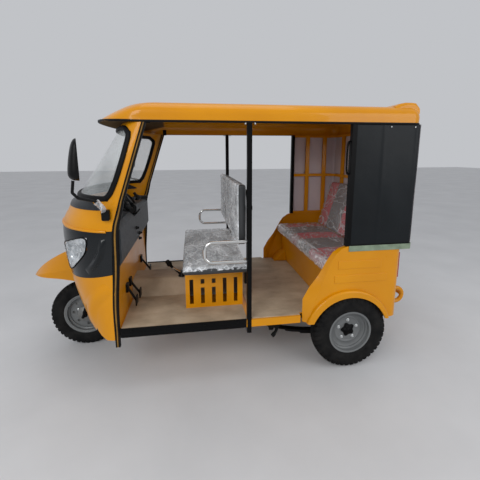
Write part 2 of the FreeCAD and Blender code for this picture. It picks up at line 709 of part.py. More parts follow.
# Windscreen: one wrapped pane in a rubber seal; its side outline runs ahead of the door edge.
SCREEN = [(-200, float(S.screen_foot_height)), (383, float(S.screen_foot_height)), (418, 1302), (454, 1383),
          (501, 1512), (539, 1631), (541, 1662), (505, 1700), (-200, 1700)]
pane = prism(SCREEN, -800, 800)
ring = float(S.seal_width)
INNER = [(-200, SCREEN[0][1] + ring), (366, SCREEN[0][1] + ring), (394, 1316), (430, 1394),
         (476, 1520), (513, 1636), (513, 1654), (494, 1700 - ring), (-200, 1700 - ring)]
opening = prism(INNER, -800, 800)
# the header runs on above the eaves until it meets the underside of the brow
header_rise = float(S.brow_rise) / 2 / float(S.eaves_height - S.screen_foot_height)
HEADER = UPPER[:3] + [(S.eaves_height + S.brow_rise / 2,
                       S.screen_head_nose_x + (S.screen_head_nose_x - S.screen_foot_nose_x) * header_rise,
                       S.screen_head_door_x + (S.screen_head_door_x - S.screen_foot_door_x) * header_rise)]
head = cowl_shell(HEADER, 0, wall, True).common(
    prism([(200, trim_z + 6 + seam), (700, trim_z + 6 + seam), (700, float(S.eaves_height)),
           (brow_back, float(S.eaves_height)),
           (brow_back, 1750), (-300, 1750), (-300, screen_z + seam), (200, screen_z + seam)], -800, 800))
open_top = head.common(prism([(-300, 1000), (700, 1000), (700, float(S.eaves_height) - 20),
                              (-300, float(S.eaves_height) - 20)],
                             -800, 800)).fuse(head.common(below_brow(-seam)))
open_top = open_top.fuse(head.common(prism([(brow_back, 1000), (700, 1000), (700, float(S.eaves_height)),
                                            (brow_back, float(S.eaves_height))], -800, 800)))
feature("cab_surround", open_top.removeSplitter().cut(pane).cut(trim_outline(seam)))
seal_skin = cowl_shell(UPPER, -4, wall + 3, True)
slim = prism([(u - (seam if 300 < u else 0), v + (seam if v < 1290 else (-seam if v > 1690 else 0)))
              for u, v in SCREEN], -800, 800)
feature("windscreen_seal", seal_skin.common(slim).cut(opening))
glass_skin = cowl_shell(UPPER, 1, 1 + float(S.glass_wall), True)
small = prism([(u - (seam if 300 < u else 0), v + (seam if v < 1330 else (-seam if v > 1650 else 0)))
               for u, v in INNER], -800, 800)
feature("windscreen_glass", glass_skin.common(small))

# Edging round both doorways' front edge, from the foot to the eaves.
edges = []
foot_wide, wide, head_wide = (float(S.door_trim_foot_width), float(S.door_trim_width),
                              float(S.door_trim_head_width))
EDGE_WIDTHS = ((foot_wide, foot_wide + 4, wide - 2, wide, wide, wide - 2),
               (wide - 2, wide - 6, wide - 9, head_wide))
for table, widths in zip((LOWER, UPPER), EDGE_WIDTHS):
    rows = [(float(r[0]), float(r[2])) for r in table]
    line = [(d + 0.4, z) for z, d in rows]
    back = [(d + grow, z) for (z, d), grow in reversed(list(zip(rows, widths)))]
    strip = prism(line + back, -float(S.body_half_width) - 3, -float(S.body_half_width) + 22)
    edges.append(strip)
trim = edges[0].fuse(edges[1])
feature("door_edge_trims", Part.makeCompound([trim, mirrored(trim)]))

# Roof: a moulded cap lofted from plan outlines.
# height, half width, nose x, x where the front curve meets the side, tail x
nose_x, tail_x, full = float(S.roof_nose_x), float(S.roof_tail_x), float(S.roof_half_width)
shoulder_x = float(S.roof_shoulder_x)
eaves, top = float(S.eaves_height), float(S.roof_crown_height)
ROOF = [
    (eaves, full, nose_x - 4, shoulder_x, tail_x - 4),
    (eaves + 0.26 * (top - eaves), full, nose_x + 26, shoulder_x, tail_x),
    (eaves + 0.52 * (top - eaves), full - 3, nose_x + 104, shoulder_x + 10, tail_x - 4),
    (eaves + 0.74 * (top - eaves), full - 24, nose_x + 168, shoulder_x + 45, tail_x - 12),
    (eaves + 0.89 * (top - eaves), full - 84, nose_x + 214, shoulder_x + 96, tail_x - 30),
    (top, full - 176, nose_x + 248, shoulder_x + 150, tail_x - 66),
]


def roof_wire(height, half, nose, side, tail, inset):
    half, nose, tail = half - inset, nose + inset, tail - inset
    curve = half_ellipse(side, nose, half, height)
    corner = 70 - inset
    low = V(tail - corner, half, height)
    knee = corner * (1 - math.sqrt(0.5))
    return Part.Wire([
        curve, Part.makeLine(V(side, half, height), low),
        Part.Arc(low, V(tail - knee, half - knee, height), V(tail, half - corner, height)).toShape(),
        Part.makeLine(V(tail, half - corner, height), V(tail, -half + corner, height)),
        Part.Arc(V(tail, -half + corner, height), V(tail - knee, -half + knee, height),
                 V(tail - corner, -half, height)).toShape(),
        Part.makeLine(V(tail - corner, -half, height), V(side, -half, height))])


roof_outer = Part.makeLoft([roof_wire(*row, 0) for row in ROOF], True, False)
inner_rows = [(z - (0.5 if i == 0 else wall), half, nose_at, side, tail)
              for i, (z, half, nose_at, side, tail) in enumerate(ROOF)]
roof_inner = Part.makeLoft([roof_wire(*row, wall + 2) for row in inner_rows], True, False)
hump_top, hump_x = float(S.roof_hump_height), float(S.roof_hump_x)
hump = prism([(hump_x, 1790), (tail_x - 12, 1790), (tail_x - 12, hump_top - 26), (tail_x - 34, hump_top - 3),
              (tail_x - 62, hump_top), (hump_x + 80, hump_top), (hump_x + 40, hump_top - 7),
              (hump_x, top - 12)],
             -full + 34, full - 34)
hump = hump.makeFillet(24, [e for e in hump.Edges if isinstance(e.Curve, Part.Line) and e.BoundBox.ZMin > 1800
                            and abs(e.tangentAt(e.FirstParameter).y) < 0.01 and e.BoundBox.XLength > 5])
soffit = below_brow(float(S.soffit_wall)).cut(below_brow(0)).common(roof_outer)
soffit = soffit.cut(cowl_solid(HEADER, wall + 22, 1200, True))
feature("roof_shell", roof_outer.fuse(hump).cut(roof_inner).cut(
    Part.makeBox(3000, 1400, 20, V(0, -700, eaves - 20))).cut(below_brow(0)).fuse(soffit))

# Floor, bulkhead, dashboard, tunnel and mats.
floor = body("floor_pan_body")
half = S.body_half_width
plan = sketch(floor, "floor_plan", "YZ_Plane", [
    (-half, S.floor_height - 44), (-half + 10, S.floor_height - 44), (-half + 10, S.floor_height),
    (half - 10, S.floor_height), (half - 10, S.floor_height - 44), (half, S.floor_height - 44),
    (half, S.floor_height + S.sheet_wall), (-half, S.floor_height + S.sheet_wall)])
made = pad(floor, "floor_sheet", plan, S.riser_foot_x - S.bulkhead_x - 6, middle=False)
sides = sketch(floor, "floor_ends", "XZ_Plane", [
    (S.tub_front_x - S.bulkhead_x - 20, S.floor_height - 60),
    (S.riser_foot_x - S.bulkhead_x + 10, S.floor_height - 60),
    (S.riser_foot_x - S.bulkhead_x + 10, S.floor_height),
    (S.tub_front_x - S.bulkhead_x - 20, S.floor_height)])
pocket(floor, "floor_ends_cut", sides)
shift = -S.bulkhead_x
# openings in the floor: engine bay, then the corners at the wheelhouses and at the door edges
for word, x0, x1, y0, y1 in (
        ("engine_bay", S.seat_box_x + 5, S.seat_box_x + S.seat_box_length - 5, -S.engine_half_width - 15,
         S.engine_half_width + 15),
        ("left_house", S.wheelhouse_front_x, S.riser_foot_x + 20, -half - 5, -S.house_inner_half_width),
        ("right_house", S.wheelhouse_front_x, S.riser_foot_x + 20, S.house_inner_half_width, half + 5),
        ("left_corner", S.bulkhead_x - 5, S.door_foot_x + S.door_trim_width - 2, -half - 5, -half + 25),
        ("right_corner", S.bulkhead_x - 5, S.door_foot_x + S.door_trim_width - 2, half - 25, half + 5),
        ("left_lip", S.tub_front_x - 20, S.wheelhouse_front_x + 1, -half - 5, -half + S.lip_turn + 16),
        ("right_lip", S.tub_front_x - 20, S.wheelhouse_front_x + 1, half - S.lip_turn - 16, half + 5)):
    hole = sketch(floor, f"floor_{word}", "XY_Plane", [
        (x0 + shift, y0), (x1 + shift, y0), (x1 + shift, y1), (x0 + shift, y1)])
    floor.Tip = pocket(floor, f"floor_{word}_cut", hole)
keep(floor, "floor_pan", S.bulkhead_x)

mat_foot = S.floor_height + S.sheet_wall
tunnel = body("tunnel_body")
face = sketch(tunnel, "tunnel_face", "YZ_Plane", [
    (-S.tunnel_foot_half_width, mat_foot), (S.tunnel_foot_half_width, mat_foot),
    (S.tunnel_top_half_width, S.tunnel_top_height), (-S.tunnel_top_half_width, S.tunnel_top_height)])
made = pad(tunnel, "tunnel_run", face, S.seat_box_x - S.bulkhead_x - S.sheet_wall - 1, middle=False)
tunnel.Tip = rounded(tunnel, "tunnel_edges", made,
                     lambda e: along("x")(e) and e.BoundBox.ZMin > float(S.tunnel_top_height) - 1, 28)
keep(tunnel, "centre_tunnel", S.bulkhead_x + S.sheet_wall + 0.5)

mats = []
for sign in (-1, 1):
    inner_y = float(S.tunnel_foot_half_width) + 1
    outer_y = float(S.body_half_width) - 14
    mats.append(Part.makeBox(float(S.b_post_x - S.door_foot_x - S.door_trim_width) - 2, outer_y - inner_y,
                             float(S.mat_thickness),
                             V(float(S.door_foot_x + S.door_trim_width) + 1,
                               inner_y if sign > 0 else -outer_y,
                               float(mat_foot))))
aft = float(S.b_post_x + S.post_width) + 5
wide = Part.makeBox(float(S.tub_front_x) - 21 - aft, 2 * float(S.body_half_width) - 28,
                    float(S.mat_thickness),
                    V(aft, -float(S.body_half_width) + 14, float(mat_foot)))
corner_half = float(S.body_half_width - S.lip_turn) - 18
corners = Part.makeBox(float(S.wheelhouse_front_x) - 1 - aft, 2 * corner_half, float(S.mat_thickness),
                       V(aft, -corner_half, float(mat_foot)))
slim = Part.makeBox(float(S.riser_foot_x) - 8 - aft, 2 * float(S.house_inner_half_width) - 4,
                    float(S.mat_thickness), V(aft, -float(S.house_inner_half_width) + 2, float(mat_foot)))
box_block = Part.makeBox(float(S.seat_box_length) + 1, 2 * float(S.seat_box_half_width) + 1, 40,
                         V(float(S.seat_box_x) - 0.5, -float(S.seat_box_half_width) - 0.5,
                           float(mat_foot) - 5))
mats = [mat.cut(box_block) for mat in mats] + [wide.fuse(corners).fuse(slim)]
feature("floor_mats", Part.makeCompound(mats))

one = box("sill_strip", 400, -S.body_half_width - S.sill_thickness, S.floor_height - 19,
          S.b_post_x - 405, S.sill_thickness, S.sill_height)
pair("sill_strips", one)

bulkhead = body("bulkhead_body")
span = S.body_half_width - S.sheet_wall - 30
face = sketch(bulkhead, "bulkhead_face", "YZ_Plane", [
    (-span, mat_foot), (span, mat_foot), (span, S.dash_foot_height), (-span, S.dash_foot_height)])
made = pad(bulkhead, "bulkhead_sheet", face, S.sheet_wall, middle=False)
bulkhead.Tip = made
keep(bulkhead, "front_bulkhead", S.bulkhead_x)

# The dashboard follows the cowl's inside and has a throat for the steering column.
dash_front, dash_back = float(S.bulkhead_x) + 6, float(S.dash_x) + float(S.dash_depth)
inside = cowl_solid(LOWER, wall + 3, 400, False).fuse(cowl_solid(UPPER, wall + 3, 400, True))
slab = prism([(dash_front, float(S.dash_foot_height) + seam),
              (dash_back - 20, float(S.dash_foot_height) + seam),
              (dash_back, float(S.dash_foot_height) + 40), (dash_back, float(S.dash_top_height) - 30),
              (dash_back - 30, float(S.dash_top_height)), (60, float(S.dash_top_height) + 50),
              (60, float(S.dash_top_height) + 42), (dash_front, float(S.dash_top_height) - 12)], -614, 614)
throat = Part.makeCylinder(62, 1400, foot, way_up)
mid = on_axis(S.dash_top_height)
throat = throat.fuse(Part.makeBox(300, 300, 90, V(mid.x - 170, -150, mid.z - 40)))
feature("dashboard", slab.common(inside).cut(throat))

# Posts.
post = body("b_post_body")
plan = sketch(post, "b_post_plan", "XY_Plane", [
    (S.b_post_x, -S.body_half_width - 2), (S.b_post_x + S.post_width, -S.body_half_width - 2),
    (S.b_post_x + S.post_width, -S.body_half_width + S.post_depth),
    (S.b_post_x, -S.body_half_width + S.post_depth)])
made = pad(post, "b_post_run", plan, S.eaves_height - S.b_post_foot_height, middle=False)
post.Tip = rounded(post, "b_post_edges", made, along("z"), 4)
place(post, 0, 0, S.b_post_foot_height)
floor_copy = box("floor_socket", S.b_post_x - 20, -S.body_half_width - 0.4, S.floor_height - 44.4,
                 S.post_width + 40, S.body_half_width, S.sheet_wall + 44.8)
pair("b_pillars", less("b_post_cut", post, floor_copy))
one = box("c_post", S.c_post_x + 13, -S.body_half_width, S.tub_top_height, S.post_width, S.post_depth,
          S.eaves_height - S.tub_top_height)
pair("c_pillars", one)

# Driver's seat box with its row of cooling slots.
seat_box = body("seat_box_body")
shell = sketch(seat_box, "seat_box_side", "XZ_Plane", [
    (S.seat_box_x, mat_foot), (S.seat_box_x + S.sheet_wall, mat_foot),
    (S.seat_box_x + S.sheet_wall, S.seat_box_top_height - S.sheet_wall),
    (S.seat_box_x + S.seat_box_length - S.sheet_wall, S.seat_box_top_height - S.sheet_wall),
    (S.seat_box_x + S.seat_box_length - S.sheet_wall, mat_foot), (S.seat_box_x + S.seat_box_length, mat_foot),
    (S.seat_box_x + S.seat_box_length, S.seat_box_top_height), (S.seat_box_x, S.seat_box_top_height)])
pad(seat_box, "seat_box_wrap", shell, S.seat_box_half_width * 2)
ends = sketch(seat_box, "seat_box_end", "XZ_Plane", [
    (S.seat_box_x, mat_foot), (S.seat_box_x + S.seat_box_length, mat_foot),
    (S.seat_box_x + S.seat_box_length, S.seat_box_top_height), (S.seat_box_x, S.seat_box_top_height)])
plate = seat_box.newObject("PartDesign::Pad", "seat_box_ends")
plate.Profile = ends
bind(plate, "Length", S.seat_box_half_width * 2)
plate.Midplane = True
hollow = sketch(seat_box, "seat_box_hollow", "XZ_Plane", [
    (S.seat_box_x + S.sheet_wall, mat_foot - 1), (S.seat_box_x + S.seat_box_length - S.sheet_wall,
                                                  mat_foot - 1),
    (S.seat_box_x + S.seat_box_length - S.sheet_wall, S.seat_box_top_height - S.sheet_wall),
    (S.seat_box_x + S.sheet_wall, S.seat_box_top_height - S.sheet_wall)])
inside_cut = pocket(seat_box, "seat_box_hollow_cut", hollow, (S.seat_box_half_width - S.sheet_wall) * 2)
slot = sketch(seat_box, "first_slot", "XZ_Plane", [
    (S.first_slot_x, S.slot_foot_height), (S.first_slot_x + S.slot_width, S.slot_foot_height),
    (S.first_slot_x + S.slot_width, S.slot_foot_height + S.slot_height),
    (S.first_slot_x, S.slot_foot_height + S.slot_height)])
cut = pocket(seat_box, "first_slot_cut", slot, S.seat_box_half_width * 2 + 20)
row = seat_box.newObject("PartDesign::LinearPattern", "slot_row")
row.Originals = [cut]
row.Direction = (slot, ["H_Axis"])
bind(row, "Length", S.slot_pitch * 4)
row.Occurrences = 5
seat_box.Tip = row
bars = sketch(seat_box, "slot_bars", "XZ_Plane", [
    (S.first_slot_x + S.slot_pitch - 5, S.slot_bar_height),
    (S.first_slot_x + S.slot_pitch * 2 + S.slot_width + 5, S.slot_bar_height),
    (S.first_slot_x + S.slot_pitch * 2 + S.slot_width + 5, S.slot_bar_height + S.slot_bar_width),
    (S.first_slot_x + S.slot_pitch - 5, S.slot_bar_height + S.slot_bar_width)])
bridge = pad(seat_box, "slot_bridge", bars, S.seat_box_half_width * 2)
inner = sketch(seat_box, "bridge_hollow", "XZ_Plane", [
    (S.first_slot_x + S.slot_pitch - 6, S.slot_bar_height - 1),
    (S.first_slot_x + S.slot_pitch * 2 + S.slot_width + 6, S.slot_bar_height - 1),
    (S.first_slot_x + S.slot_pitch * 2 + S.slot_width + 6, S.slot_bar_height + S.slot_bar_width + 1),
    (S.first_slot_x + S.slot_pitch - 6, S.slot_bar_height + S.slot_bar_width + 1)])
seat_box.Tip = pocket(seat_box, "bridge_hollow_cut", inner, (S.seat_box_half_width - S.sheet_wall) * 2)
keep(seat_box, "driver_seat_box")

cushion = body("driver_cushion_body")
plan = sketch(cushion, "driver_cushion_plan", "XY_Plane", [
    (S.driver_cushion_x, -S.driver_cushion_half_width),
    (S.driver_cushion_x + S.driver_cushion_length, -S.driver_cushion_half_width),
    (S.driver_cushion_x + S.driver_cushion_length, S.driver_cushion_half_width),
    (S.driver_cushion_x, S.driver_cushion_half_width)])
made = pad(cushion, "driver_cushion_pad", plan, S.driver_cushion_thickness, middle=False)
made = rounded(cushion, "driver_cushion_corners", made, along("z"), 45)
cushion.Tip = rounded(cushion, "driver_cushion_crown", made,
                      lambda e: e.BoundBox.ZMin > float(S.driver_cushion_thickness) - 1, 14)
keep(cushion, "driver_seat_cushion", 0, 0, S.seat_box_top_height)

back = body("backrest_body")
half, corner = S.backrest_half_width, S.backrest_corner
face = sketch(back, "backrest_face", "YZ_Plane", [
    (-half + corner, S.backrest_foot_height), (half - corner, S.backrest_foot_height),
    (half, S.backrest_foot_height + corner * 1.6), (half, S.backrest_top_height - 30),
    (half - 30, S.backrest_top_height), (-half + 30, S.backrest_top_height),
    (-half, S.backrest_top_height - 30), (-half, S.backrest_foot_height + corner * 1.6)])
made = pad(back, "backrest_pad", face, S.backrest_thickness, middle=False)
back.Tip = rounded(back, "backrest_edges", made, lambda e: e.BoundBox.XMax < 1, 16)
keep(back, "driver_backrest", S.backrest_x)

frame_x = S.backrest_x + S.backrest_thickness + 12.5
loop = bent_tube([(frame_x, -0.84 * half, float(S.seat_box_top_height) - 40),
                  (frame_x, -0.84 * half, S.backrest_top_height - 60),
                  (frame_x, 0.84 * half, S.backrest_top_height - 60),
                  (frame_x, 0.84 * half, float(S.seat_box_top_height) - 40)], 12, 60)
cross = []
for sign in (-1, 1):
    pillar_y = float(S.body_half_width - S.post_depth - S.fit_gap)
    cross.append(Part.makeBox(16, pillar_y - 0.84 * float(half), 26,
                              V(float(frame_x) - 8, 0.84 * float(half) if sign > 0 else -pillar_y, 1180)))
    cross.append(Part.makeBox(float(frame_x - S.seat_box_x - S.seat_box_length) - 0.4, 50, 90,
                              V(float(S.seat_box_x + S.seat_box_length) + 0.4, 0.84 * float(half) * sign - 25,
                                float(S.seat_box_top_height) - 95)))
feature("backrest_frame", common_fuse([loop] + cross))

rails = []
for sign in (-1, 1):
    y = float(S.arm_rail_half_spacing) * sign
    rails.append(bent_tube([(float(S.b_post_x) - 0.4, y, S.arm_rail_top_height),
                            (S.arm_rail_x, y, S.arm_rail_top_height),
                            (S.arm_rail_x, y, S.arm_rail_foot_height),
                            (float(S.b_post_x) - 0.4, y, S.arm_rail_foot_height)], S.arm_rail_radius, 55))
feature("arm_rails", Part.makeCompound(rails))

# Controls.
knob_at = V(680, -104, 672)
tunnel_block = prism([(-float(S.tunnel_foot_half_width) - 1, float(mat_foot) - 1),
                      (float(S.tunnel_foot_half_width) + 1, float(mat_foot) - 1),
                      (float(S.tunnel_top_half_width) + 2, float(S.tunnel_top_height) + 0.4),
                      (-float(S.tunnel_top_half_width) - 2, float(S.tunnel_top_height) + 0.4)], 380, 821,
                      "yz")
lever_foot = V(775, -90, float(S.tunnel_top_height) + 0.4)
lever = Part.makeCylinder(float(S.lever_radius), (knob_at - lever_foot).Length, lever_foot,
                          knob_at - lever_foot)
lever = lever.fuse(Part.makeSphere(float(S.knob_radius), knob_at)).fuse(
    Part.makeCone(30, 12, 46, lever_foot, V(0, 0, 1)))
feature("gear_lever", lever.cut(tunnel_block))

pedals = []
pads_at = [(455, -350, 500), (462, -235, 505), (470, 300, 500)]
for x, y, z in pads_at:
    arm = Part.makeCylinder(8, V(x - float(S.bulkhead_x + S.sheet_wall) - 6, 0, z - 600).Length + 4,
                            V(float(S.bulkhead_x + S.sheet_wall) + 8, y, 600),
                            V(x - float(S.bulkhead_x + S.sheet_wall) - 8, 0, z - 600))
    plate = Part.makeBox(9, float(S.pedal_width), float(S.pedal_height),
                         V(x, y - float(S.pedal_width) / 2, z - float(S.pedal_height) / 2))
    foot_plate = Part.makeBox(16, 50, 60, V(float(S.bulkhead_x + S.sheet_wall) + 0.2, y - 25, 570))
    pedals.append(arm.fuse(plate).fuse(foot_plate))
feature("pedals", Part.makeCompound(pedals))

# Engine, one plain block hung between the rails under the driver's seat.
engine = box("engine_core", 0, 0, 0, S.engine_length - 20, S.engine_half_width * 2, S.engine_height)
keep(engine, "engine_block", S.engine_x, -S.engine_half_width, mat_foot - S.engine_drop)

# Rear tub: a bent skin, sloped door edges, wheel arches with flares, pressed ribs.
half, tail = float(S.body_half_width), float(S.tub_tail_x)
low, high = float(S.tub_foot_height), float(S.tub_top_height)
skin = wall + 2


def tub_plan(inset, front, z, height):
    corner = float(S.tub_corner) - inset
    y, x = half - inset, tail - inset
    knee = corner * (1 - math.sqrt(0.5))
    ring = [
        Part.makeLine(V(front, -y, z), V(x - corner, -y, z)),
        Part.Arc(V(x - corner, -y, z), V(x - knee, -y + knee, z), V(x, -y + corner, z)).toShape(),
        Part.makeLine(V(x, -y + corner, z), V(x, y - corner, z)),
        Part.Arc(V(x, y - corner, z), V(x - knee, y - knee, z), V(x - corner, y, z)).toShape(),
        Part.makeLine(V(x - corner, y, z), V(front, y, z)),
        Part.makeLine(V(front, y, z), V(front, -y, z))]
    return Part.Face(Part.Wire(ring)).extrude(V(0, 0, height))


front = float(S.tub_front_x)
tub = tub_plan(0, front - 5, low, high - low).cut(tub_plan(skin, front - 60, low - 5, high - low + 10))
rim_top = tub_plan(0, front - 5, high - 14, 14).cut(tub_plan(float(S.flange_width), front - 60, high - 20,
                                                             30))
tub = tub.fuse(rim_top)
# front edge: along-vehicle place of the turned lip and of its crease, and the height of each
LIP = [(0, low), (0, 545), (43, 625), (105, 706), (143, 775), (171, 826), (203, 872), (248, 902), (293, high)]
CREASE = [(38, low), (74, 520), (104, 597), (133, 680), (161, 757), (186, 809), (218, 864), (256, 900),
          (294, high)]
sloped = prism([(front - 10, low - 5)] + [(front + u, v) for u, v in CREASE] + [(front + 294, high + 5),
                (front - 10, high + 5)], -700, 700)
tub = tub.cut(sloped)


def lip_slab(shift, inward):
    """Bevelled slab from the crease on the body side to the lip turned inward."""
    wires = []
    for rows, y in ((CREASE, -half + inward), (LIP, -half + float(S.lip_turn) + inward)):
        line = [V(front + u + shift, y, v) for u, v in rows]
        line += [V(front + 330, y, high), V(front + 330, y, low)]
        wires.append(Part.makePolygon(line + line[:1]))
    return Part.makeLoft(wires, True, True)


lips = lip_slab(0, 0).cut(lip_slab(9, skin - 2))
lips = lips.cut(Part.makeBox(400, 60, 700, V(front + 296, -half - 5, low - 50)))
lips = lips.cut(prism([(front + u + 10, v) for u, v in CREASE] + [(front + 500, high + 5),
                                                                  (front + 500, low - 5),
                      (front + 48, low - 5)], -half + skin, -half + 60))
wheel = V(float(S.wheelbase), 0, float(S.rear_tyre_radius))
arch = float(S.arch_radius)
room = float(S.rear_tyre_radius + S.wheel_room)
arch_mid = V(float(S.arch_x), 0, float(S.arch_height))
flare_mid = V(float(S.flare_x), 0, float(S.flare_height))
for sign in (-1, 1):
    lip = lips if sign < 0 else mirrored(lips)
    tub = tub.fuse(lip)
    out = V(0, sign, 0)
    ring = Part.makeCylinder(float(S.flare_radius), float(S.flare_reach) + skin,
                             flare_mid + out * (half - skin), out)
    ring = ring.makeFillet(16, [e for e in ring.Edges if isinstance(e.Curve, Part.Circle)
                                and abs(e.CenterOfMass.y) > half + 5])
    house = Part.makeCylinder(room + skin + 6, float(S.wheelhouse_depth), wheel + out *
                              (half - float(S.wheelhouse_depth) - 2), out)
    keep_above = Part.makeBox(1000, 1400, 700, V(1470, -700, low))
    tub = tub.fuse(ring.common(keep_above)).fuse(house.common(keep_above))
for sign in (-1, 1):
    out = V(0, sign, 0)
    hole = Part.makeCylinder(room, float(S.wheelhouse_depth) + 5,
                             wheel + out * (half - float(S.wheelhouse_depth) + skin - 2), out)
    tub = tub.cut(hole).cut(Part.makeCylinder(arch, 90, arch_mid + out * (half - skin - 1), out))
    for x0, x1, z0, z1 in ((1848, 2165, 755, 813), (1825, 2212, 655, 710)):
        rib = Part.makeBox(x1 - x0, float(S.rib_reach) + 4, z1 - z0,
                           V(x0, half - 4 if sign > 0 else -half - float(S.rib_reach), z0))
        rib = rib.makeFillet(float(S.rib_reach) - 1,
                             [e for e in rib.Edges if abs(e.CenterOfMass.y) > half + 1])
        tub = tub.fuse(rib)
feature("rear_tub", tub)

riser = body("riser_body")
span = S.body_half_width - S.sheet_wall - 3
side = sketch(riser, "riser_side", "XZ_Plane", [
    (S.riser_foot_x - 6, mat_foot), (S.riser_foot_x + 2, mat_foot),
    (S.bench_front_x + 20 + S.sheet_wall, S.bench_top_height - S.bench_thickness - S.sheet_wall),
    (S.bench_back_x + 60, S.bench_top_height - S.bench_thickness - S.sheet_wall),
    (S.bench_back_x + 60, S.bench_top_height - S.bench_thickness),
    (S.bench_front_x + 18, S.bench_top_height - S.bench_thickness)])
riser.Tip = pad(riser, "riser_sheet", side, (S.bench_half_width - 2) * 2)
houses = []
for sign in (-1, 1):
    reach = S.wheelhouse_depth + 20
    houses.append(rod("riser_arch",
                      (S.wheelbase, sign * (S.house_inner_half_width + reach / 2) - reach / 2,
                       S.rear_tyre_radius),
                      (S.wheelbase, sign * (S.house_inner_half_width + reach / 2) + reach / 2,
                       S.rear_tyre_radius),
                      S.rear_tyre_radius + S.wheel_room + S.sheet_wall + 8.5))
keep(less("riser_cut", riser, fused("riser_arches", houses)), "rear_seat_base")

bench = body("bench_body")
side = sketch(bench, "bench_side", "XZ_Plane", [
    (S.bench_front_x, S.bench_top_height - S.bench_thickness),
    (S.bench_back_x, S.bench_top_height - S.bench_thickness),
    (S.bench_back_x, S.bench_top_height + 12), (S.bench_front_x, S.bench_top_height)])
made = pad(bench, "bench_pad", side, S.bench_half_width * 2)
bench.Tip = rounded(bench, "bench_edges", made, lambda e: e.BoundBox.ZMin > float(S.bench_top_height) - 2
                    and e.BoundBox.XMax < float(S.bench_back_x) - 5, 18)
keep(bench, "rear_seat_cushion")

rear_back = body("rear_back_body")
back_x = S.canopy_tail_x - 6
side = sketch(rear_back, "rear_back_side", "XZ_Plane", [
    (S.bench_back_x + 0.4, S.bench_top_height - S.bench_thickness + 0.4),
    (S.tub_tail_x - 34, S.bench_top_height - S.bench_thickness + 0.4),
    (S.tub_tail_x - 34, S.tub_top_height + 10), (back_x, S.tub_top_height + 50),
    (back_x, S.rear_back_top_height - 20), (back_x - 10, S.rear_back_top_height),
    (back_x - 26, S.rear_back_top_height), (back_x - 40, S.rear_back_top_height - 42),
    (S.bench_back_x + 0.4, S.bench_top_height + 10)])
made = pad(rear_back, "rear_back_pad", side, (S.bench_half_width - 14) * 2)
rear_back.Tip = made
keep(rear_back, "rear_backrest")

# Canopy frame: square tube posts and rails under the roof, behind the C pillars.
tube, bar, rail_high = float(S.canopy_tube), float(S.canopy_bar), float(S.canopy_rail)
side_y, corner = float(S.canopy_half_width), float(S.canopy_corner)
tail_x = float(S.canopy_tail_x)
top_z = eaves - 0.4
start_x = float(S.c_post_x + S.post_width) + 13.4


def rail_plan(inset, corner):
    """Half of the rail in plan, from the C pillar round the chamfered rear corner."""
    y, x = side_y + tube / 2 - inset, tail_x + tube - inset
    return [(start_x, -y), (x - corner, -y), (x, -y + corner), (x, y - corner), (x - corner, y), (start_x, y)]


frame = []
for z, tall in ((high + 0.4, tube), (float(S.canopy_rail_height), rail_high), (top_z - tube, tube)):
    around = rail_plan(0, corner) + list(reversed(rail_plan(tube, corner - 0.41 * tube)))
    frame.append(prism(around, z, z + tall, "xy"))
for sign in (-1, 1):
    y = side_y * sign
    for x in (2050, 2232):
        frame.append(Part.makeBox(bar, tube, top_z - (high + 0.4), V(x, y - tube / 2, high + 0.4)))
    y = float(S.tail_post_half_spacing) * sign
    frame.append(Part.makeBox(tube, bar, top_z - high - 0.4, V(tail_x, y - bar / 2, high + 0.4)))
feature("canopy_frame", common_fuse(frame).removeSplitter())

# Curtains: plain closed sheets here, hung outside the frame.
cloth = float(S.curtain_wall)
low_z = float(S.curtain_foot_height)
front_x = float(S.c_post_x + S.post_width) + 13.5
outside = side_y + tube / 2 + 0.4
back_out = tail_x + tube + 0.4
strip_x = back_out - 1
panels = []
for sign in (-1, 1):
    y = outside if sign > 0 else -outside - cloth
    panels.append(Part.makeBox(back_out - 1 - front_x, cloth, eaves - low_z, V(front_x, y, low_z)))
feature("side_curtains", Part.makeCompound(panels))
rear = Part.makeBox(cloth, 2 * outside - 2, eaves - low_z, V(back_out, -outside + 1, low_z))
wide, win_low, win_high = float(S.window_half_width), float(S.window_foot_height), float(S.window_top_height)
hole = Part.makeBox(cloth + 20, 2 * wide, win_high - win_low, V(back_out - 10, -wide, win_low))
hole = hole.makeFillet(40, [e for e in hole.Edges if e.BoundBox.XLength > cloth])
feature("rear_curtain", rear.cut(hole))
band_w = float(S.window_frame_width)
pane = Part.makeBox(3, 2 * wide - 1, win_high - win_low - 1, V(back_out + 1, -wide + 0.5, win_low + 0.5))
pane = pane.makeFillet(39.5, [e for e in pane.Edges if e.BoundBox.XLength > 2])
feature("rear_window", pane)
border = Part.makeBox(4, 2 * (wide + band_w), win_high - win_low + 2 * band_w,
                      V(back_out + cloth, -wide - band_w, win_low - band_w))
border = border.makeFillet(50, [e for e in border.Edges if e.BoundBox.XLength > 3])
inner_hole = Part.makeBox(20, 2 * wide - 16, win_high - win_low - 16, V(back_out, -wide + 8, win_low + 8))
inner_hole = inner_hole.makeFillet(36, [e for e in inner_hole.Edges if e.BoundBox.XLength > 10])
feature("rear_window_border", border.cut(inner_hole))
hem = float(S.hem_height)
y = half + 0.4
around = [(front_x - 10, -y), (strip_x - 8, -y), (strip_x + 7, -y + 15), (strip_x + 7, y - 15),
          (strip_x - 8, y), (front_x - 10, y),
          (front_x - 10, y + 5), (strip_x - 6, y + 5), (strip_x + 12, y - 13), (strip_x + 12, -y + 13),
          (strip_x - 6, -y - 5),
          (front_x - 10, -y - 5)]
feature("curtain_hems", prism(around, low_z - hem - 0.4, low_z - 0.4, "xy"))

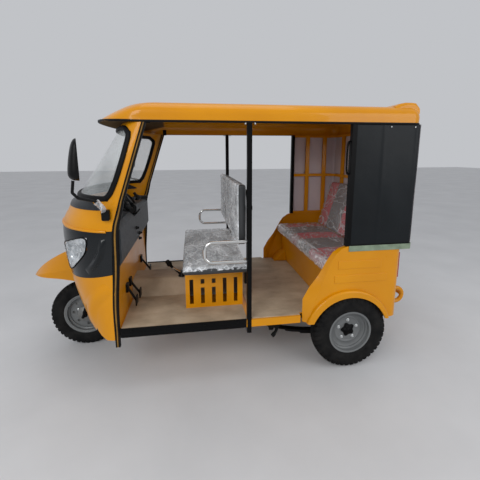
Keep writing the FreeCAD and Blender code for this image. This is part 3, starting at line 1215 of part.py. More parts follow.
# Chassis: two rails, cross members, the neck with its headstock, and the spring hangers.
rail_top = float(S.floor_height)
rail_low = rail_top - float(S.rail_height)
spacing, rail_w = float(S.rail_half_spacing), float(S.rail_width)
frame_start, frame_end = float(S.bulkhead_x) - 60, float(S.frame_tail_x)
frame = []
for sign in (-1, 1):
    y = spacing * sign
    frame.append(Part.makeBox(frame_end - frame_start, rail_w, rail_top - rail_low,
                              V(frame_start, y - rail_w / 2, rail_low)))
    for x in (1409, 2240):
        reach = float(S.leaf_half_spacing) * sign
        arm = Part.makeBox(40, abs(reach) - spacing + 20, 36,
                           V(x, min(y, reach) - (0 if sign > 0 else 20), rail_low + 6))
        if x < 2000:
            frame.append(arm)
member = 40
engine_tail = float(S.engine_x + S.engine_length) - 20
for x in (frame_start, float(S.engine_x) - member - seam, engine_tail + seam, 1700, frame_end - member):
    frame.append(Part.makeBox(member, 2 * spacing, 40, V(x, -spacing, rail_low + 8)))
stock_low, stock_high = on_axis(S.headstock_foot_height), on_axis(S.headstock_top_height)
stock = Part.makeCylinder(float(S.headstock_radius), (stock_high - stock_low).Length, stock_low, way_up)
neck = prism([(stock_low.x + 8, stock_low.z + 20), (stock_low.x + 60, stock_low.z + 110),
              (frame_start + 40, rail_top - 0.5), (frame_start + 40, rail_low + 8),
              (frame_start, rail_low + 8)], -38, 38)
bore = Part.makeCylinder(float(S.steering_stem_radius + S.running_gap), 600, stock_low - way_up * 100, way_up)
chassis = common_fuse(frame + [stock, neck]).cut(bore)
outriggers = []
for x in (560, 1240, 1600):
    for sign in (-1, 1):
        outriggers.append(Part.makeBox(36, float(S.body_half_width) - spacing - 40, 30,
                                       V(x, spacing if sign > 0 else -float(S.body_half_width) + 40,
                                         rail_top - 30)))
chassis = common_fuse([chassis] + outriggers)
feature("chassis_frame", chassis)

# Leaf springs over the rear axle, with hangers.
leaf_y, leaf_w = float(S.leaf_half_spacing), float(S.leaf_width)
front_eye, rear_eye = V(1431, 0, 262), V(2330, 0, 300)
spring_arc = Part.Arc(front_eye, V(wheel.x, 0, 205), rear_eye).toShape().Curve
hub_at, bow = spring_arc.Center, spring_arc.Radius
leaf = float(S.leaf_wall)


def from_hub(spot):
    return math.atan2(spot.z - hub_at.z, spot.x - hub_at.x)


first, last, middle = from_hub(front_eye), from_hub(rear_eye), from_hub(V(wheel.x, 0, 205))
springs = []
for sign in (-1, 1):
    y = leaf_y * sign - leaf_w / 2
    stack = None
    for i, reach in enumerate((1.0, 0.78, 0.56, 0.34)):
        a, b = middle + (first - middle) * reach, middle + (last - middle) * reach
        rim_points = []
        for r in (bow - leaf / 2 + leaf * i, bow + leaf / 2 + leaf * i):
            rim_points.append([V(hub_at.x + r * math.cos(t), y, hub_at.z + r * math.sin(t))
                               for t in (a, (a + b) / 2, b)])
        (p, q, r), (u, v, w) = rim_points
        ring = Part.Wire([Part.Arc(p, q, r).toShape(), Part.makeLine(r, w), Part.Arc(w, v, u).toShape(),
                          Part.makeLine(u, p)])
        piece = Part.Face(ring).extrude(V(0, leaf_w, 0))
        stack = piece if stack is None else stack.fuse(piece)
    for spot in (front_eye, rear_eye):
        eye = Part.makeCylinder(19, leaf_w, V(spot.x, y, spot.z), V(0, 1, 0))
        stack = stack.fuse(eye).cut(Part.makeCylinder(8.5, leaf_w + 10, V(spot.x, y - 5, spot.z), V(0, 1, 0)))
    springs.append(stack.removeSplitter())
feature("leaf_springs", Part.makeCompound(springs))

hangers = []
for sign in (-1, 1):
    for spot, roof_z in ((front_eye, rail_low + 6), (rear_eye, rail_low + 6)):
        plates = []
        for side in (-1, 1):
            y = leaf_y * sign + side * (leaf_w / 2 + 1) + (0 if side > 0 else -6)
            plates.append(prism([(spot.x - 46, roof_z), (spot.x + 46, roof_z), (spot.x + 16, spot.z - 24),
                                 (spot.x - 16, spot.z - 24)], y, y + 6))
        pin = Part.makeCylinder(8, leaf_w + 14, V(spot.x, leaf_y * sign - leaf_w / 2 - 7, spot.z), V(0, 1, 0))
        cap = Part.makeBox(92, leaf_w + 14, 6, V(spot.x - 46, leaf_y * sign - leaf_w / 2 - 7, roof_z - 6))
        group = common_fuse(plates + [pin, cap])
        if spot.x > 2000:
            group = group.fuse(prism([(frame_end - 60, rail_low - 6), (spot.x + 46, rail_low - 0),
                                      (spot.x + 46, rail_low + 6), (frame_end - 60, rail_low - 0.3)],
                                     leaf_y * sign - 20, leaf_y * sign + 20))
            group = group.fuse(Part.makeBox(60, leaf_y - spacing + 20, 6,
                                            V(frame_end - 60, spacing if sign > 0 else -leaf_y - 20,
                                              rail_low - 6.3)))
        hangers.append(group)
feature("spring_hangers", Part.makeCompound(hangers))

# Rear axle: tube, final drive, stubs, clamps onto the springs.
axle_z = float(S.rear_tyre_radius)
track = float(S.rear_track) / 2
axle_parts = [
    Part.makeCylinder(float(S.axle_tube_radius), 2 * (track - 60), V(wheel.x, -track + 60, axle_z),
                      V(0, 1, 0)),
    Part.makeCylinder(float(S.rear_stub_radius), 2 * (track + 8), V(wheel.x, -track - 8, axle_z), V(0, 1, 0)),
]
drive = Part.makeSphere(float(S.final_drive_radius), V(wheel.x, 0, axle_z))
drive = drive.fuse(Part.makeCone(70, 36, 130, V(wheel.x - 60, 0, axle_z), V(-1, 0, 0)))
axle_parts.append(drive)
for sign in (-1, 1):
    drum_y = (track - 60) * sign
    axle_parts.append(Part.makeCylinder(104, 12, V(wheel.x, drum_y - 6, axle_z), V(0, 1, 0)))
    block = Part.makeBox(90, leaf_w + 20, 72, V(wheel.x - 45, leaf_y * sign - leaf_w / 2 - 10, 190))
    axle_parts.append(block.common(Part.makeCylinder(bow - leaf / 2 - seam, leaf_w + 40,
                                                     V(hub_at.x, leaf_y * sign - leaf_w / 2 - 20,
                                                       hub_at.z), V(0, 1, 0))))
feature("rear_axle", common_fuse(axle_parts))

shaft = Part.makeCylinder(float(S.shaft_radius), wheel.x - 188 - (float(S.engine_x + S.engine_length) - 20),
                          V(float(S.engine_x + S.engine_length) - 24, 0, 330),
                          V(wheel.x - 192 - float(S.engine_x + S.engine_length) + 24, 0, axle_z - 330))
shaft = shaft.cut(Part.makeBox(500, 400, 400, V(float(S.engine_x + S.engine_length) - 519.6, -200, 200)))
feature("drive_shaft", shaft)

muffler = Part.makeCylinder(float(S.silencer_radius), 420, V(1440, 120, 300), V(1, 0, 0))
muffler = muffler.makeFillet(20, [e for e in muffler.Edges if isinstance(e.Curve, Part.Circle)])
strap = Part.makeBox(24, 20, 59.6, V(1706, 110, rail_low + 8 - 60))
pipe = bent_tube([(1450, 120, 300), (1380, 120, 300), (1330, 70, 340),
                  (float(S.engine_x + S.engine_length) - 19.6, 70, 354)], 18, 40)
silencer = common_fuse([muffler, strap, pipe]).cut(
    Part.makeBox(300, 400, 400, V(float(S.engine_x + S.engine_length) - 319.6, -200, 200)))
feature("silencer", silencer)

# Bumper loops behind the tub, tail lamps, mirrors.
loops = []
x_face, x_tail = tail + 0.4, float(S.bumper_tail_x) - float(S.bumper_radius)
y = float(S.bumper_half_spacing)
foot_z, head_z = float(S.bumper_foot_height), float(S.bumper_head_height)
side_loop = bent_tube([(x_face, -y, head_z), (x_tail, -y, head_z), (x_tail, -y, foot_z),
                       (x_face, -y, foot_z)],
                      S.bumper_radius, 52)
crossbar = Part.makeCylinder(float(S.bumper_radius) - 2, 2 * y, V(x_tail, -y, (foot_z + head_z) / 2),
                             V(0, 1, 0))
loops = [side_loop, mirrored(side_loop), crossbar]
feature("rear_bumper", common_fuse(loops))

one = box("tail_lamp", S.tub_tail_x + S.fit_gap, -S.body_half_width + 75,
          S.tub_top_height - 275, 32, S.tail_lamp_width, S.tail_lamp_height)
pair("tail_lamps", one)

head_mid = V(float(S.mirror_x), -float(S.mirror_reach), float(S.mirror_foot_height + S.mirror_height / 2))
block = Part.makeBox(46, 34, 64, V(350, -float(S.body_half_width) - 30, 1150))
block = block.makeFillet(8, [e for e in block.Edges if e.CenterOfMass.y < -float(S.body_half_width) - 5])
reach = -float(S.mirror_reach)
arm_z, head_z = float(S.scuttle_height), float(S.mirror_foot_height)
stalk = bent_tube([(362, -float(S.body_half_width) - 18, arm_z - 20), (370, reach + 26, arm_z + 27),
                   (346, reach + 14, arm_z + 55), (266, reach + 4, arm_z + 75),
                   (240, reach, head_z - 64), (250, reach, head_z + 2)], 8, 12)
block = block.cut(cowl_solid(UPPER, -seam, 400, True)).cut(cowl_solid(LOWER, -seam, 400, False))
arm = block.fuse(stalk)
head = Part.makeBox(float(S.mirror_depth), float(S.mirror_width), float(S.mirror_height),
                    V(-float(S.mirror_depth) / 2, -float(S.mirror_width) / 2, -float(S.mirror_height) / 2))
head = head.makeFillet(36, [e for e in head.Edges if e.BoundBox.XLength > 10])
head = head.makeFillet(14, [e for e in head.Edges if e.BoundBox.XMax < 0])
head.rotate(V(0, 0, 0), V(0, 0, 1), float(S.mirror_toe))
head.translate(head_mid)
arm = arm.cut(head)
feature("mirror_arms", Part.makeCompound([arm, mirrored(arm)]))
feature("mirror_heads", Part.makeCompound([head, mirrored(head)]))

doc.recompute()
for thing in doc.Objects:
    if "Invalid" in thing.State or "Error" in thing.State:
        raise RuntimeError(f"{thing.Name} does not recompute: {thing.State}")
for thing in parts:
    if thing.Shape.isNull() or not thing.Shape.isValid():
        raise RuntimeError(f"{thing.Label} has no sound shape")
    if not thing.Shape.Solids:
        raise RuntimeError(f"{thing.Label} holds no solid")
    thing.Shape.exportStep(f"parts/{thing.Label}.step")
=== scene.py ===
"""Looks of the auto rickshaw: enamelled sheet metal, wrapped seats, canvas curtains, treaded tyres."""

import bmesh
import bpy
import numpy as np
from mathutils import Euler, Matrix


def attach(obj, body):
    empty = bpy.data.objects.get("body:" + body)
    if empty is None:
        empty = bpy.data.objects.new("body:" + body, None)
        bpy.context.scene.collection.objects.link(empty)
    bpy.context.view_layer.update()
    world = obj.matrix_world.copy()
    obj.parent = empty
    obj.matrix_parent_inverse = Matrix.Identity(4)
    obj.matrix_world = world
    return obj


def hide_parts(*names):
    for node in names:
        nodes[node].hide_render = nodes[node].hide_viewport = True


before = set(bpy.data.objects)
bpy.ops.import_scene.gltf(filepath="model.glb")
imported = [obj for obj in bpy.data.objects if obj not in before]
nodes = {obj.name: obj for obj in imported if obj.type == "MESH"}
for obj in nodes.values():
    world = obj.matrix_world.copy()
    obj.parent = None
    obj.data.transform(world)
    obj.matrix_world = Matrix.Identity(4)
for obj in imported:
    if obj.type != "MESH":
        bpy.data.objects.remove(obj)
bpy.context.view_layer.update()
TAU = 2 * np.pi

# Main sizes in mm: x runs rearward from the front axle, y to the vehicle's right, z up from the ground
MIDDLE = 1073.5  # the frame's origin behind the front axle
HALF = 640.0  # half the body's width
FLOOR, EAVES = 427, 1719
REAR_AXLE, REAR_WHEEL = 1970, 589  # how far back, and how far out the wheels' middles stand
FRONT_RADIUS, REAR_RADIUS = 268, 272
FRONT_WIDTH, REAR_WIDTH = 104, 118


def at(x, y, z):
    """Points given in mm from the front axle and the ground, as metres in the frame."""
    x, y, z = np.broadcast_arrays(np.asarray(x, float), np.asarray(y, float), np.asarray(z, float))
    return np.stack([(x - MIDDLE) / 1000, y / 1000, z / 1000], -1)


def placed(p):
    """The same for points held in one array."""
    return at(*np.moveaxis(np.asarray(p, float), -1, 0))


def unit(v):
    """Directions brought to length one."""
    return v / np.maximum(np.linalg.norm(v, axis=-1, keepdims=True), 1e-9)


def smooth(edge_a, edge_b, t):
    """0 before edge_a, 1 after edge_b, with a cubic ramp between."""
    s = np.clip((t - edge_a) / (edge_b - edge_a), 0, 1)
    return s * s * (3 - 2 * s)


def waves(u, v, seed, count=14, low=2.0, high=9.0, power=1.0):
    """A smooth random height: a sum of sines whose directions and phases come from the seed."""
    rng = np.random.default_rng(seed)
    total = np.zeros(np.broadcast(u, v).shape)
    for _ in range(count):
        f = rng.uniform(low, high)
        a, p = rng.uniform(0, TAU, 2)
        total += np.sin(TAU * f * (np.cos(a) * u + np.sin(a) * v) + p) / f ** power
    return total / np.abs(total).max()


def folds(u, v, seed, low=2.0, high=9.0):
    """Sharp crests with smooth ground between: one minus the size of a random height, raised to a power."""
    return (1 - np.abs(waves(u, v, seed, 16, low, high, 0.7))) ** 5


def set_down(name, data):
    """A new object of the scene that holds the data."""
    thing = bpy.data.objects.new(name, data)
    bpy.context.scene.collection.objects.link(thing)
    return thing


class Skin:
    """Grids, tubes and turned profiles gathered into one mesh."""

    def __init__(self):
        self.points, self.faces, self.uv, self.slots, self.count = [], [], [], [], 0

    def grid(self, p, wrap_u=False, wrap_v=False, uv=None, slot=0, keep=None):
        """A sheet of quads through the points p[u, v]; a wrapped direction closes on itself."""
        n, m = p.shape[:2]
        if uv is None:
            a, b = np.meshgrid(np.linspace(0, 1, n), np.linspace(0, 1, m), indexing="ij")
            uv = np.stack([a, b], -1)
        i = np.arange(n if wrap_u else n - 1)[:, None]
        j = np.arange(m if wrap_v else m - 1)[None, :]
        i2, j2 = (i + 1) % n, (j + 1) % m
        quads = np.stack([i * m + j, i2 * m + j, i2 * m + j2, i * m + j2], -1).reshape(-1, 4)
        if keep is not None:
            quads = quads[keep.reshape(-1)]
        self.points.append(p.reshape(-1, 3))
        self.faces.append(quads + self.count)
        self.uv.append(uv.reshape(-1, 2))
        self.slots.append(np.full(len(quads), slot))
        self.count += n * m
        return self

    def fan(self, ring, out, slot=0):
        """A closed ring of points filled from its middle, as thin quads meeting there."""
        mid = np.repeat(ring.mean(0, keepdims=True), len(ring), 0)
        p = np.stack([ring, mid * 0.5 + ring * 0.5, mid + (ring - mid) * 1e-4], 1)
        return self.grid(p if out else p[::-1], wrap_u=True, slot=slot)

    def tube(self, path, radius, sides=16, slot=0, ends=True, up=(0, 0, 1), flat=1.0, closed=False,
             swell=1.0):
        """A round section carried along the path; its frame turns with the path's own direction.

        up may be one direction or one for each point; swell multiplies the radius point by point.
        """
        path = np.asarray(path, float)
        way = unit(np.roll(path, -1, 0) - np.roll(path, 1, 0) if closed else np.gradient(path, axis=0))
        side = unit(np.cross(way, np.asarray(up, float)))
        lift = np.cross(side, way)
        a = np.linspace(0, TAU, sides, endpoint=False)
        radius = np.broadcast_to(np.asarray(radius, float), (len(path),))[:, None, None]
        radius = radius * np.broadcast_to(swell, (len(path), sides))[:, :, None]
        p = path[:, None] + radius * (np.cos(a)[None, :, None] * side[:, None]
                                      + flat * np.sin(a)[None, :, None] * lift[:, None])
        self.grid(p[:, ::-1], wrap_u=closed, wrap_v=True, slot=slot)
        if ends and not closed:
            self.fan(p[0][::-1], True, slot)
            self.fan(p[-1], True, slot)
        return self

    def spun(self, profile, centre, axis, around=48, slot=0, lobes=0, lobe_depth=0.0):
        """A profile of (distance along the axis, radius) turned round the axis through centre.

        With lobes the radius is multiplied by one plus lobe_depth times the cosine of lobes times the angle.
        """
        axis = unit(np.asarray(axis, float))
        side = unit(np.cross(axis, (0, 0, 1.0) if abs(axis[2]) < 0.9 else (1.0, 0, 0)))
        lift = np.cross(axis, side)
        a = np.linspace(0, TAU, around, endpoint=False)
        along, radius = np.asarray(profile, float).T
        spoke = np.cos(a)[None, :, None] * side + np.sin(a)[None, :, None] * lift
        swell = (1 + lobe_depth * np.cos(lobes * a))[None, :, None]
        p = np.asarray(centre) + along[:, None, None] * axis + radius[:, None, None] * swell * spoke
        return self.grid(p[:, ::-1], wrap_v=True, slot=slot)

    def build(self, name, mats, body="body", replaces=(), slot=None, flat_shaded=False, weld=0.0):
        """The gathered grids as one object that rides on a body and may stand in for CAD nodes."""
        mesh = bpy.data.meshes.new(name)
        points, faces, uv = (np.concatenate(c) for c in (self.points, self.faces, self.uv))
        mesh.vertices.add(len(points))
        mesh.vertices.foreach_set("co", points.ravel())
        mesh.loops.add(faces.size)
        mesh.loops.foreach_set("vertex_index", faces.ravel())
        mesh.polygons.add(len(faces))
        mesh.polygons.foreach_set("loop_start", np.arange(len(faces)) * 4)
        mesh.polygons.foreach_set("material_index", np.concatenate(self.slots))
        mesh.polygons.foreach_set("use_smooth", np.full(len(faces), not flat_shaded))
        layer = mesh.uv_layers.new(name="cut")
        layer.data.foreach_set("uv", uv[faces.ravel()].ravel())
        mesh.update(calc_edges=True)
        mesh.validate()
        if weld:
            work = bmesh.new()
            work.from_mesh(mesh)
            bmesh.ops.remove_doubles(work, verts=work.verts, dist=weld)
            work.to_mesh(mesh)
            work.free()
        for m in mats if isinstance(mats, (list, tuple)) else [mats]:
            mesh.materials.append(m)
        thing = set_down(name, mesh)
        if replaces:
            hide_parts(*replaces)
        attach(thing, body)
        return thing


# Finishes
def srgb(r, g, b):
    """Colour as seen on a screen, 0 to 255, as linear light."""
    c = np.array([r, g, b], float) / 255
    return tuple(np.where(c <= 0.04045, c / 12.92, ((c + 0.055) / 1.055) ** 2.4)) + (1.0,)


class Finish:
    """A material and short words for its usual nodes."""

    def __init__(self, name, colour, rough=0.5, metal=0.0, coat=0.0, **sockets):
        self.material = bpy.data.materials.new(name)
        self.material.use_nodes = True
        self.tree = self.material.node_tree
        self.shader = self.tree.nodes["Principled BSDF"]
        self.set("Base Color", srgb(*colour))
        self.set("Roughness", rough)
        self.set("Metallic", metal)
        self.set("Coat Weight", coat)
        for socket, value in sockets.items():
            self.set(socket.replace("_", " "), value)
        where = self.tree.nodes.new("ShaderNodeTexCoord")
        self.object = where.outputs["Object"]
        self.normal = where.outputs["Normal"]
        self.cut = where.outputs["UV"]

    def set(self, socket, value):
        self.shader.inputs[socket].default_value = value

    def node(self, kind, links=(), **values):
        """One shader node; values are its own settings or its sockets, with _ for a space."""
        made = self.tree.nodes.new("ShaderNode" + kind)
        for key, value in values.items():
            if hasattr(made, key):
                setattr(made, key, value)
            else:
                made.inputs[key.replace("_", " ")].default_value = value
        for socket, source in dict(links).items():
            self.tree.links.new(source, made.inputs[socket])
        return made

    def scaled(self, source, size):
        return self.node("Mapping", {"Vector": source}, Scale=size).outputs[0]

    def noise(self, source, scale, detail=4.0, rough=0.55):
        return self.node("TexNoise", {"Vector": source}, Scale=scale, Detail=detail, Roughness=rough).outputs[0]

    def ramp(self, source, stops):
        """Colour bands: each stop is a place from 0 to 1 and a colour."""
        made = self.node("ValToRGB", {"Fac": source})
        ramp = made.color_ramp
        ramp.elements[0].position, ramp.elements[1].position = stops[0][0], stops[-1][0]
        for place, _ in stops[1:-1]:
            ramp.elements.new(place)
        for element, (_, c) in zip(ramp.elements, stops):
            element.color = c if len(c) == 4 else (*c, 1)
        return made.outputs[0]

    def span(self, source, low, high):
        return self.node("MapRange", {"Value": source}, To_Min=low, To_Max=high).outputs[0]

    def mix(self, share, first, second):
        """first where share is 0, second where it is 1."""
        made = self.tree.nodes.new("ShaderNodeMix")
        made.data_type = "RGBA"
        self.tree.links.new(share, made.inputs[0])
        for slot, source in ((6, first), (7, second)):
            if isinstance(source, tuple):
                made.inputs[slot].default_value = source
            else:
                self.tree.links.new(source, made.inputs[slot])
        return made.outputs[2]

    def link(self, socket, source):
        self.tree.links.new(source, self.shader.inputs[socket])
        return self

    def tones(self, scale, detail, dark, light, low=0.3, high=0.7):
        """Base colour that drifts between two tones by a noise."""
        drift = self.noise(self.object, scale, detail)
        self.tone = self.ramp(drift, [(low, srgb(*dark)), (high, srgb(*light))])
        return self.link("Base Color", self.tone)

    def wear(self, scale, detail, low, high):
        """Roughness that changes by a noise, from low to high."""
        return self.link("Roughness", self.span(self.noise(self.object, scale, detail), low, high))

    def bump(self, source, height, distance):
        """Relief from a pattern, on top of any relief that is there already."""
        made = self.node("Bump", {"Height": source}, Strength=height, Distance=distance)
        before = self.shader.inputs["Normal"]
        if before.is_linked:
            self.tree.links.new(before.links[0].from_socket, made.inputs["Normal"])
        self.tree.links.new(made.outputs[0], before)
        return self


def painted(name, colour, dark, rough=0.28, coat=0.25, peel=0.05, shine=0.2):
    """Enamel: slight tone drift, orange peel, dust that dulls it in patches."""
    f = Finish(name, colour, rough, coat=coat, Coat_Roughness=0.03, Specular_IOR_Level=shine)
    f.tones(2.2, 3, dark, colour).wear(9, 5, rough - 0.06, rough + 0.14)
    return f.bump(f.noise(f.object, 160, 2), peel, 0.0006)


def moulded(name, colour, rough=0.55, grain=0.25):
    """Grained plastic: fine pebble bump and a little mottling."""
    f = Finish(name, colour, rough, Specular_IOR_Level=0.15)
    f.tones(24, 4, [c * 0.82 for c in colour], colour).wear(60, 3, rough - 0.1, rough + 0.12)
    return f.bump(f.noise(f.object, 900, 2), grain, 0.0005)


YELLOW, AMBER = (214, 143, 4), (202, 131, 2)


def roof_finish():
    """Yellow outside; the brow's faces that look down get a grey-brown that is partly painted shade and partly
    their bare unpainted face, and a rough dull finish.
    """
    f = painted("roof_enamel", YELLOW, AMBER, 0.24, 0.3)
    # mask of the brow's faces that look down, where a grey-brown shade is painted
    down = f.node("SeparateXYZ", {"Vector": f.normal}).outputs["Z"]
    under = f.node("MapRange", {"Value": down}, From_Min=-0.35, From_Max=-0.6).outputs[0]
    along = f.node("SeparateXYZ", {"Vector": f.object}).outputs["X"]
    front = f.node("MapRange", {"Value": along}, From_Min=-0.43, From_Max=-0.45).outputs[0]
    brow = f.node("Math", operation="MULTIPLY")
    f.tree.links.new(under, brow.inputs[0])
    f.tree.links.new(front, brow.inputs[1])
    # painted shade: grey-brown mixed over the yellow on the brow's downward faces
    f.link("Base Color", f.mix(brow.outputs[0], f.tone, srgb(104, 86, 64)))
    f.link("Roughness", f.span(brow.outputs[0], 0.26, 0.95))
    f.link("Coat Weight", f.span(brow.outputs[0], 0.3, 0.0))
    f.link("Specular IOR Level", f.span(brow.outputs[0], 0.2, 0.0))
    return f.material


yellow = painted("yellow_enamel", YELLOW, AMBER).material
roof_paint = roof_finish()
slate = painted("slate_enamel", (19, 23, 26), (13, 17, 20), 0.22, 0.3).material
black = painted("black_enamel", (11, 11, 12), (7, 7, 8), 0.38, 0.0, shine=0.1).material
rim_grey = painted("rim_grey", (116, 118, 118), (96, 98, 99), 0.36, 0.15).material
chassis_black = painted("chassis_black", (18, 18, 18), (11, 11, 11), 0.55, 0.0, shine=0.1).material
grey_trim = moulded("grey_moulding", (48, 51, 54), 0.34).material
dash_grey = moulded("dash_moulding", (74, 77, 80), 0.45).material
black_plastic = moulded("black_moulding", (14, 15, 16), 0.38, 0.15).material
rubber = moulded("black_rubber", (12, 12, 13), 0.55, 0.3).material
hem_green = moulded("hem_strip", (138, 154, 132), 0.5).material
tan_trim = moulded("tan_trim", (150, 112, 52), 0.45).material


def chrome_finish():
    """Bright plate with hazy patches."""
    return Finish("chrome", (214, 214, 212), 0.12, 1.0).wear(30, 4, 0.06, 0.22).material


def tyre_finish():
    """Tyre rubber, greyer where dust lies on the side wall."""
    f = Finish("tyre_rubber", (20, 20, 21), 0.75, Specular_IOR_Level=0.15)
    f.tones(14, 6, (12, 12, 13), (34, 33, 32), 0.35, 0.8).wear(40, 4, 0.62, 0.9)
    return f.bump(f.noise(f.object, 420, 3), 0.3, 0.0008).material


def mat_finish():
    """Floor covering, beige with scuffs and dust."""
    f = Finish("floor_cover", (166, 146, 120), 0.7)
    worn, plain, dusty = srgb(150, 134, 112), srgb(176, 158, 134), srgb(196, 180, 156)
    f.link("Base Color", f.ramp(f.noise(f.scaled(f.object, (1, 1.6, 1)), 5, 7),
                                [(0.3, worn), (0.55, plain), (0.8, dusty)]))
    f.wear(30, 4, 0.55, 0.85)
    return f.bump(f.noise(f.object, 300, 3), 0.3, 0.001).material


def clear_finish(name, tint, alpha, rough=0.05, coat=0.0):
    """Glass or sheet: a tint that lets most of what is behind it through."""
    return Finish(name, tint, rough, coat=coat, IOR=1.45, Alpha=alpha).material


def reflector_finish():
    """Silvered facets: each cell of a cell pattern has its own tilt and a painted reflection, from dim through
    silver to white.
    """
    f = Finish("lamp_facets", (214, 220, 224), 0.14, 0.9, coat=1.0, Coat_Roughness=0.03)
    cells = f.node("TexVoronoi", {"Vector": f.object}, Scale=40.0)
    painted_dim_reflection, silver, painted_glint = srgb(96, 104, 110), srgb(210, 216, 220), srgb(255, 255, 255)
    # painted reflection: each cell's base colour is dim, silver or white, as if it caught the light its own way
    f.link("Base Color", f.ramp(cells.outputs["Color"], [(0.0, painted_dim_reflection), (0.6, silver), (1.0, painted_glint)]))
    return f.bump(cells.outputs["Distance"], 0.6, 0.006).material


def steel_finish(name, colour, rough):
    """Raw metal, pitted and dull in patches."""
    f = Finish(name, colour, rough, 0.8).wear(50, 6, rough - 0.1, rough + 0.2)
    return f.bump(f.noise(f.object, 120, 5), 0.2, 0.001).material


chrome, tyre_rubber, floor_cover = chrome_finish(), tyre_finish(), mat_finish()
screen_glass = clear_finish("screen_glass", (222, 228, 228), 0.24, 0.04, 0.5)
curtain_window = clear_finish("curtain_window", (206, 210, 206), 0.3, 0.12)
mirror_glass = Finish("mirror_glass", (200, 204, 206), 0.04, 1.0).material
lamp_facets = reflector_finish()
lamp_lens = clear_finish("lamp_lens", (240, 244, 246), 0.16, 0.03, 1.0)
red_lens = Finish("red_lens", (150, 12, 10), 0.15, coat=0.8).material
casting = steel_finish("rough_casting", (130, 130, 128), 0.5)
exhaust = steel_finish("exhaust_steel", (110, 104, 98), 0.5)
zinc = Finish("bright_zinc", (206, 208, 208), 0.28, 0.9).material

FINISHES = {
    roof_paint: ("roof_shell",),
    yellow: ("front_apron", "nose_panel", "cab_surround", "front_fender", "front_bulkhead",
             "driver_seat_box", "rear_tub", "rear_seat_base", "canopy_frame", "rear_bumper", "floor_pan"),
    slate: ("headlight_band",),
    grey_trim: ("windscreen_base_trim",),
    dash_grey: ("dashboard",),
    hem_green: ("curtain_hems",),
    black: ("b_pillars", "c_pillars", "sill_strips", "backrest_frame", "steering_fork", "fork_springs"),
    chassis_black: ("chassis_frame", "rear_axle", "leaf_springs", "spring_hangers", "drive_shaft"),
    black_plastic: ("mirror_arms", "mirror_heads", "pedals", "gear_lever", "handlebar"),
    rubber: ("windscreen_seal", "handlebar_grips", "rear_window_border"),
    floor_cover: ("floor_mats", "centre_tunnel"),
    screen_glass: ("windscreen_glass",),
    curtain_window: ("rear_window",),
    lamp_facets: ("headlamps",),
    red_lens: ("tail_lamps",),
    rim_grey: ("front_rim", "rear_left_rim", "rear_right_rim"),
    chrome: ("arm_rails",),
    casting: ("engine_block",),
    exhaust: ("silencer",),
}
for finish, names in FINISHES.items():
    for name in names:
        node = nodes[name]
        node.data.materials.clear()
        node.data.materials.append(finish)


# Tyres
def tyre(name, body, x, y, radius, width, node):
    """A tyre's section turned round its axle.

    The section runs bead, side wall, shoulder, crown; grooves sink the crown by a depth that is a
    smooth function of the angle and the place across the tread, staggered from side to side.
    """
    around, half, blocks, deepest = 560, width / 2, 44, 8.5
    s = np.array([(151, -0.74), (158, -0.84), (170, -0.9), (182, -0.97), (198, -1.0), (214, -1.0),
                  (radius - 40, -0.97), (radius - 26, -0.93), (radius - 14, -0.87), (radius - 5, -0.74),
                  (radius - 2, -0.55), (radius, -0.3), (radius, -0.1)], float)
    t = np.linspace(0, len(s) - 1, 34)
    k = np.arange(len(s))
    side = np.stack([np.interp(t, k, s[:, 0]), np.interp(t, k, s[:, 1])], 1)
    section = np.concatenate([side, side[::-1] * (1, -1)])
    r, v = section[:, 0][None, :], section[:, 1][None, :]
    a = np.linspace(0, TAU, around, endpoint=False)[:, None]
    step = (a * blocks / TAU + np.where(v > 0, 0.5, 0.0) + 0.35 * np.abs(v)) % 1.0
    cut = smooth(0.30, 0.36, step) * (1 - smooth(0.64, 0.70, step))
    shoulder = smooth(radius - 30, radius - 18, r) * smooth(0.34, 0.42, np.abs(v))
    crown = smooth(radius - 8, radius - 4, r)
    centre = (1 - smooth(0.04, 0.09, np.abs(v - 0.10 * np.sin(a * blocks / 2)))) * crown
    ring = (1 - smooth(0.04, 0.07, np.abs(np.abs(v) - 0.42 - 0.05 * np.sin(a * blocks)))) * crown
    depth = deepest * np.maximum(np.maximum(cut * shoulder, centre), ring * 0.9)
    lines = sum(0.8 * (1 - smooth(1.0, 2.0, np.abs(r - line))) for line in (184, 206))
    narrow = 1 - 0.06 * cut * smooth(radius - 44, radius - 20, r) * (np.abs(v) > 0.8)
    rr = r - depth + 0 * a
    yy = v * half * narrow + np.sign(v) * lines * 0.6 + 0 * a
    skin = Skin()
    skin.grid(at(x + rr * np.cos(a), y + yy, radius + rr * np.sin(a)), wrap_u=True, wrap_v=True)
    skin.build(name, tyre_rubber, body, [node], "tyre")


tyre("front_tyre_treaded", "front_wheel", 0, 0, FRONT_RADIUS, FRONT_WIDTH, "front_tyre")
for side, sign in (("left", -1), ("right", 1)):
    tyre(f"rear_{side}_tyre_treaded", f"rear_wheel_{side}", REAR_AXLE, REAR_WHEEL * sign, REAR_RADIUS,
         REAR_WIDTH, f"rear_{side}_tyre")


# Hubs and brakes
NUT_RING, NUT_COUNT = 72, 5


def nuts(name, body, x, y, z, size, out):
    """Nuts on a circle round the hub: six-sided profiles with a domed end, each on a round washer."""
    washer = np.array([(-0.5, size * 1.35), (1.6, size * 1.35), (2.0, size * 1.25), (2.0, 1)])
    nut = np.array([(2.0, size), (size * 0.8, size), (size, size * 0.86), (size, size * 0.5),
                    (size * 1.35, size * 0.45), (size * 1.5, 1e-3)])
    skin = Skin()
    for k in range(NUT_COUNT):
        a = TAU * (k + 0.25) / NUT_COUNT
        centre = at(x + NUT_RING * np.cos(a), y, z + NUT_RING * np.sin(a))
        skin.spun(washer / 1000, centre, (0, out, 0), 20)
        skin.spun(nut / 1000, centre, (0, out, 0), 6)
    skin.build(name, zinc, body, slot="rim_paint", flat_shaded=True)


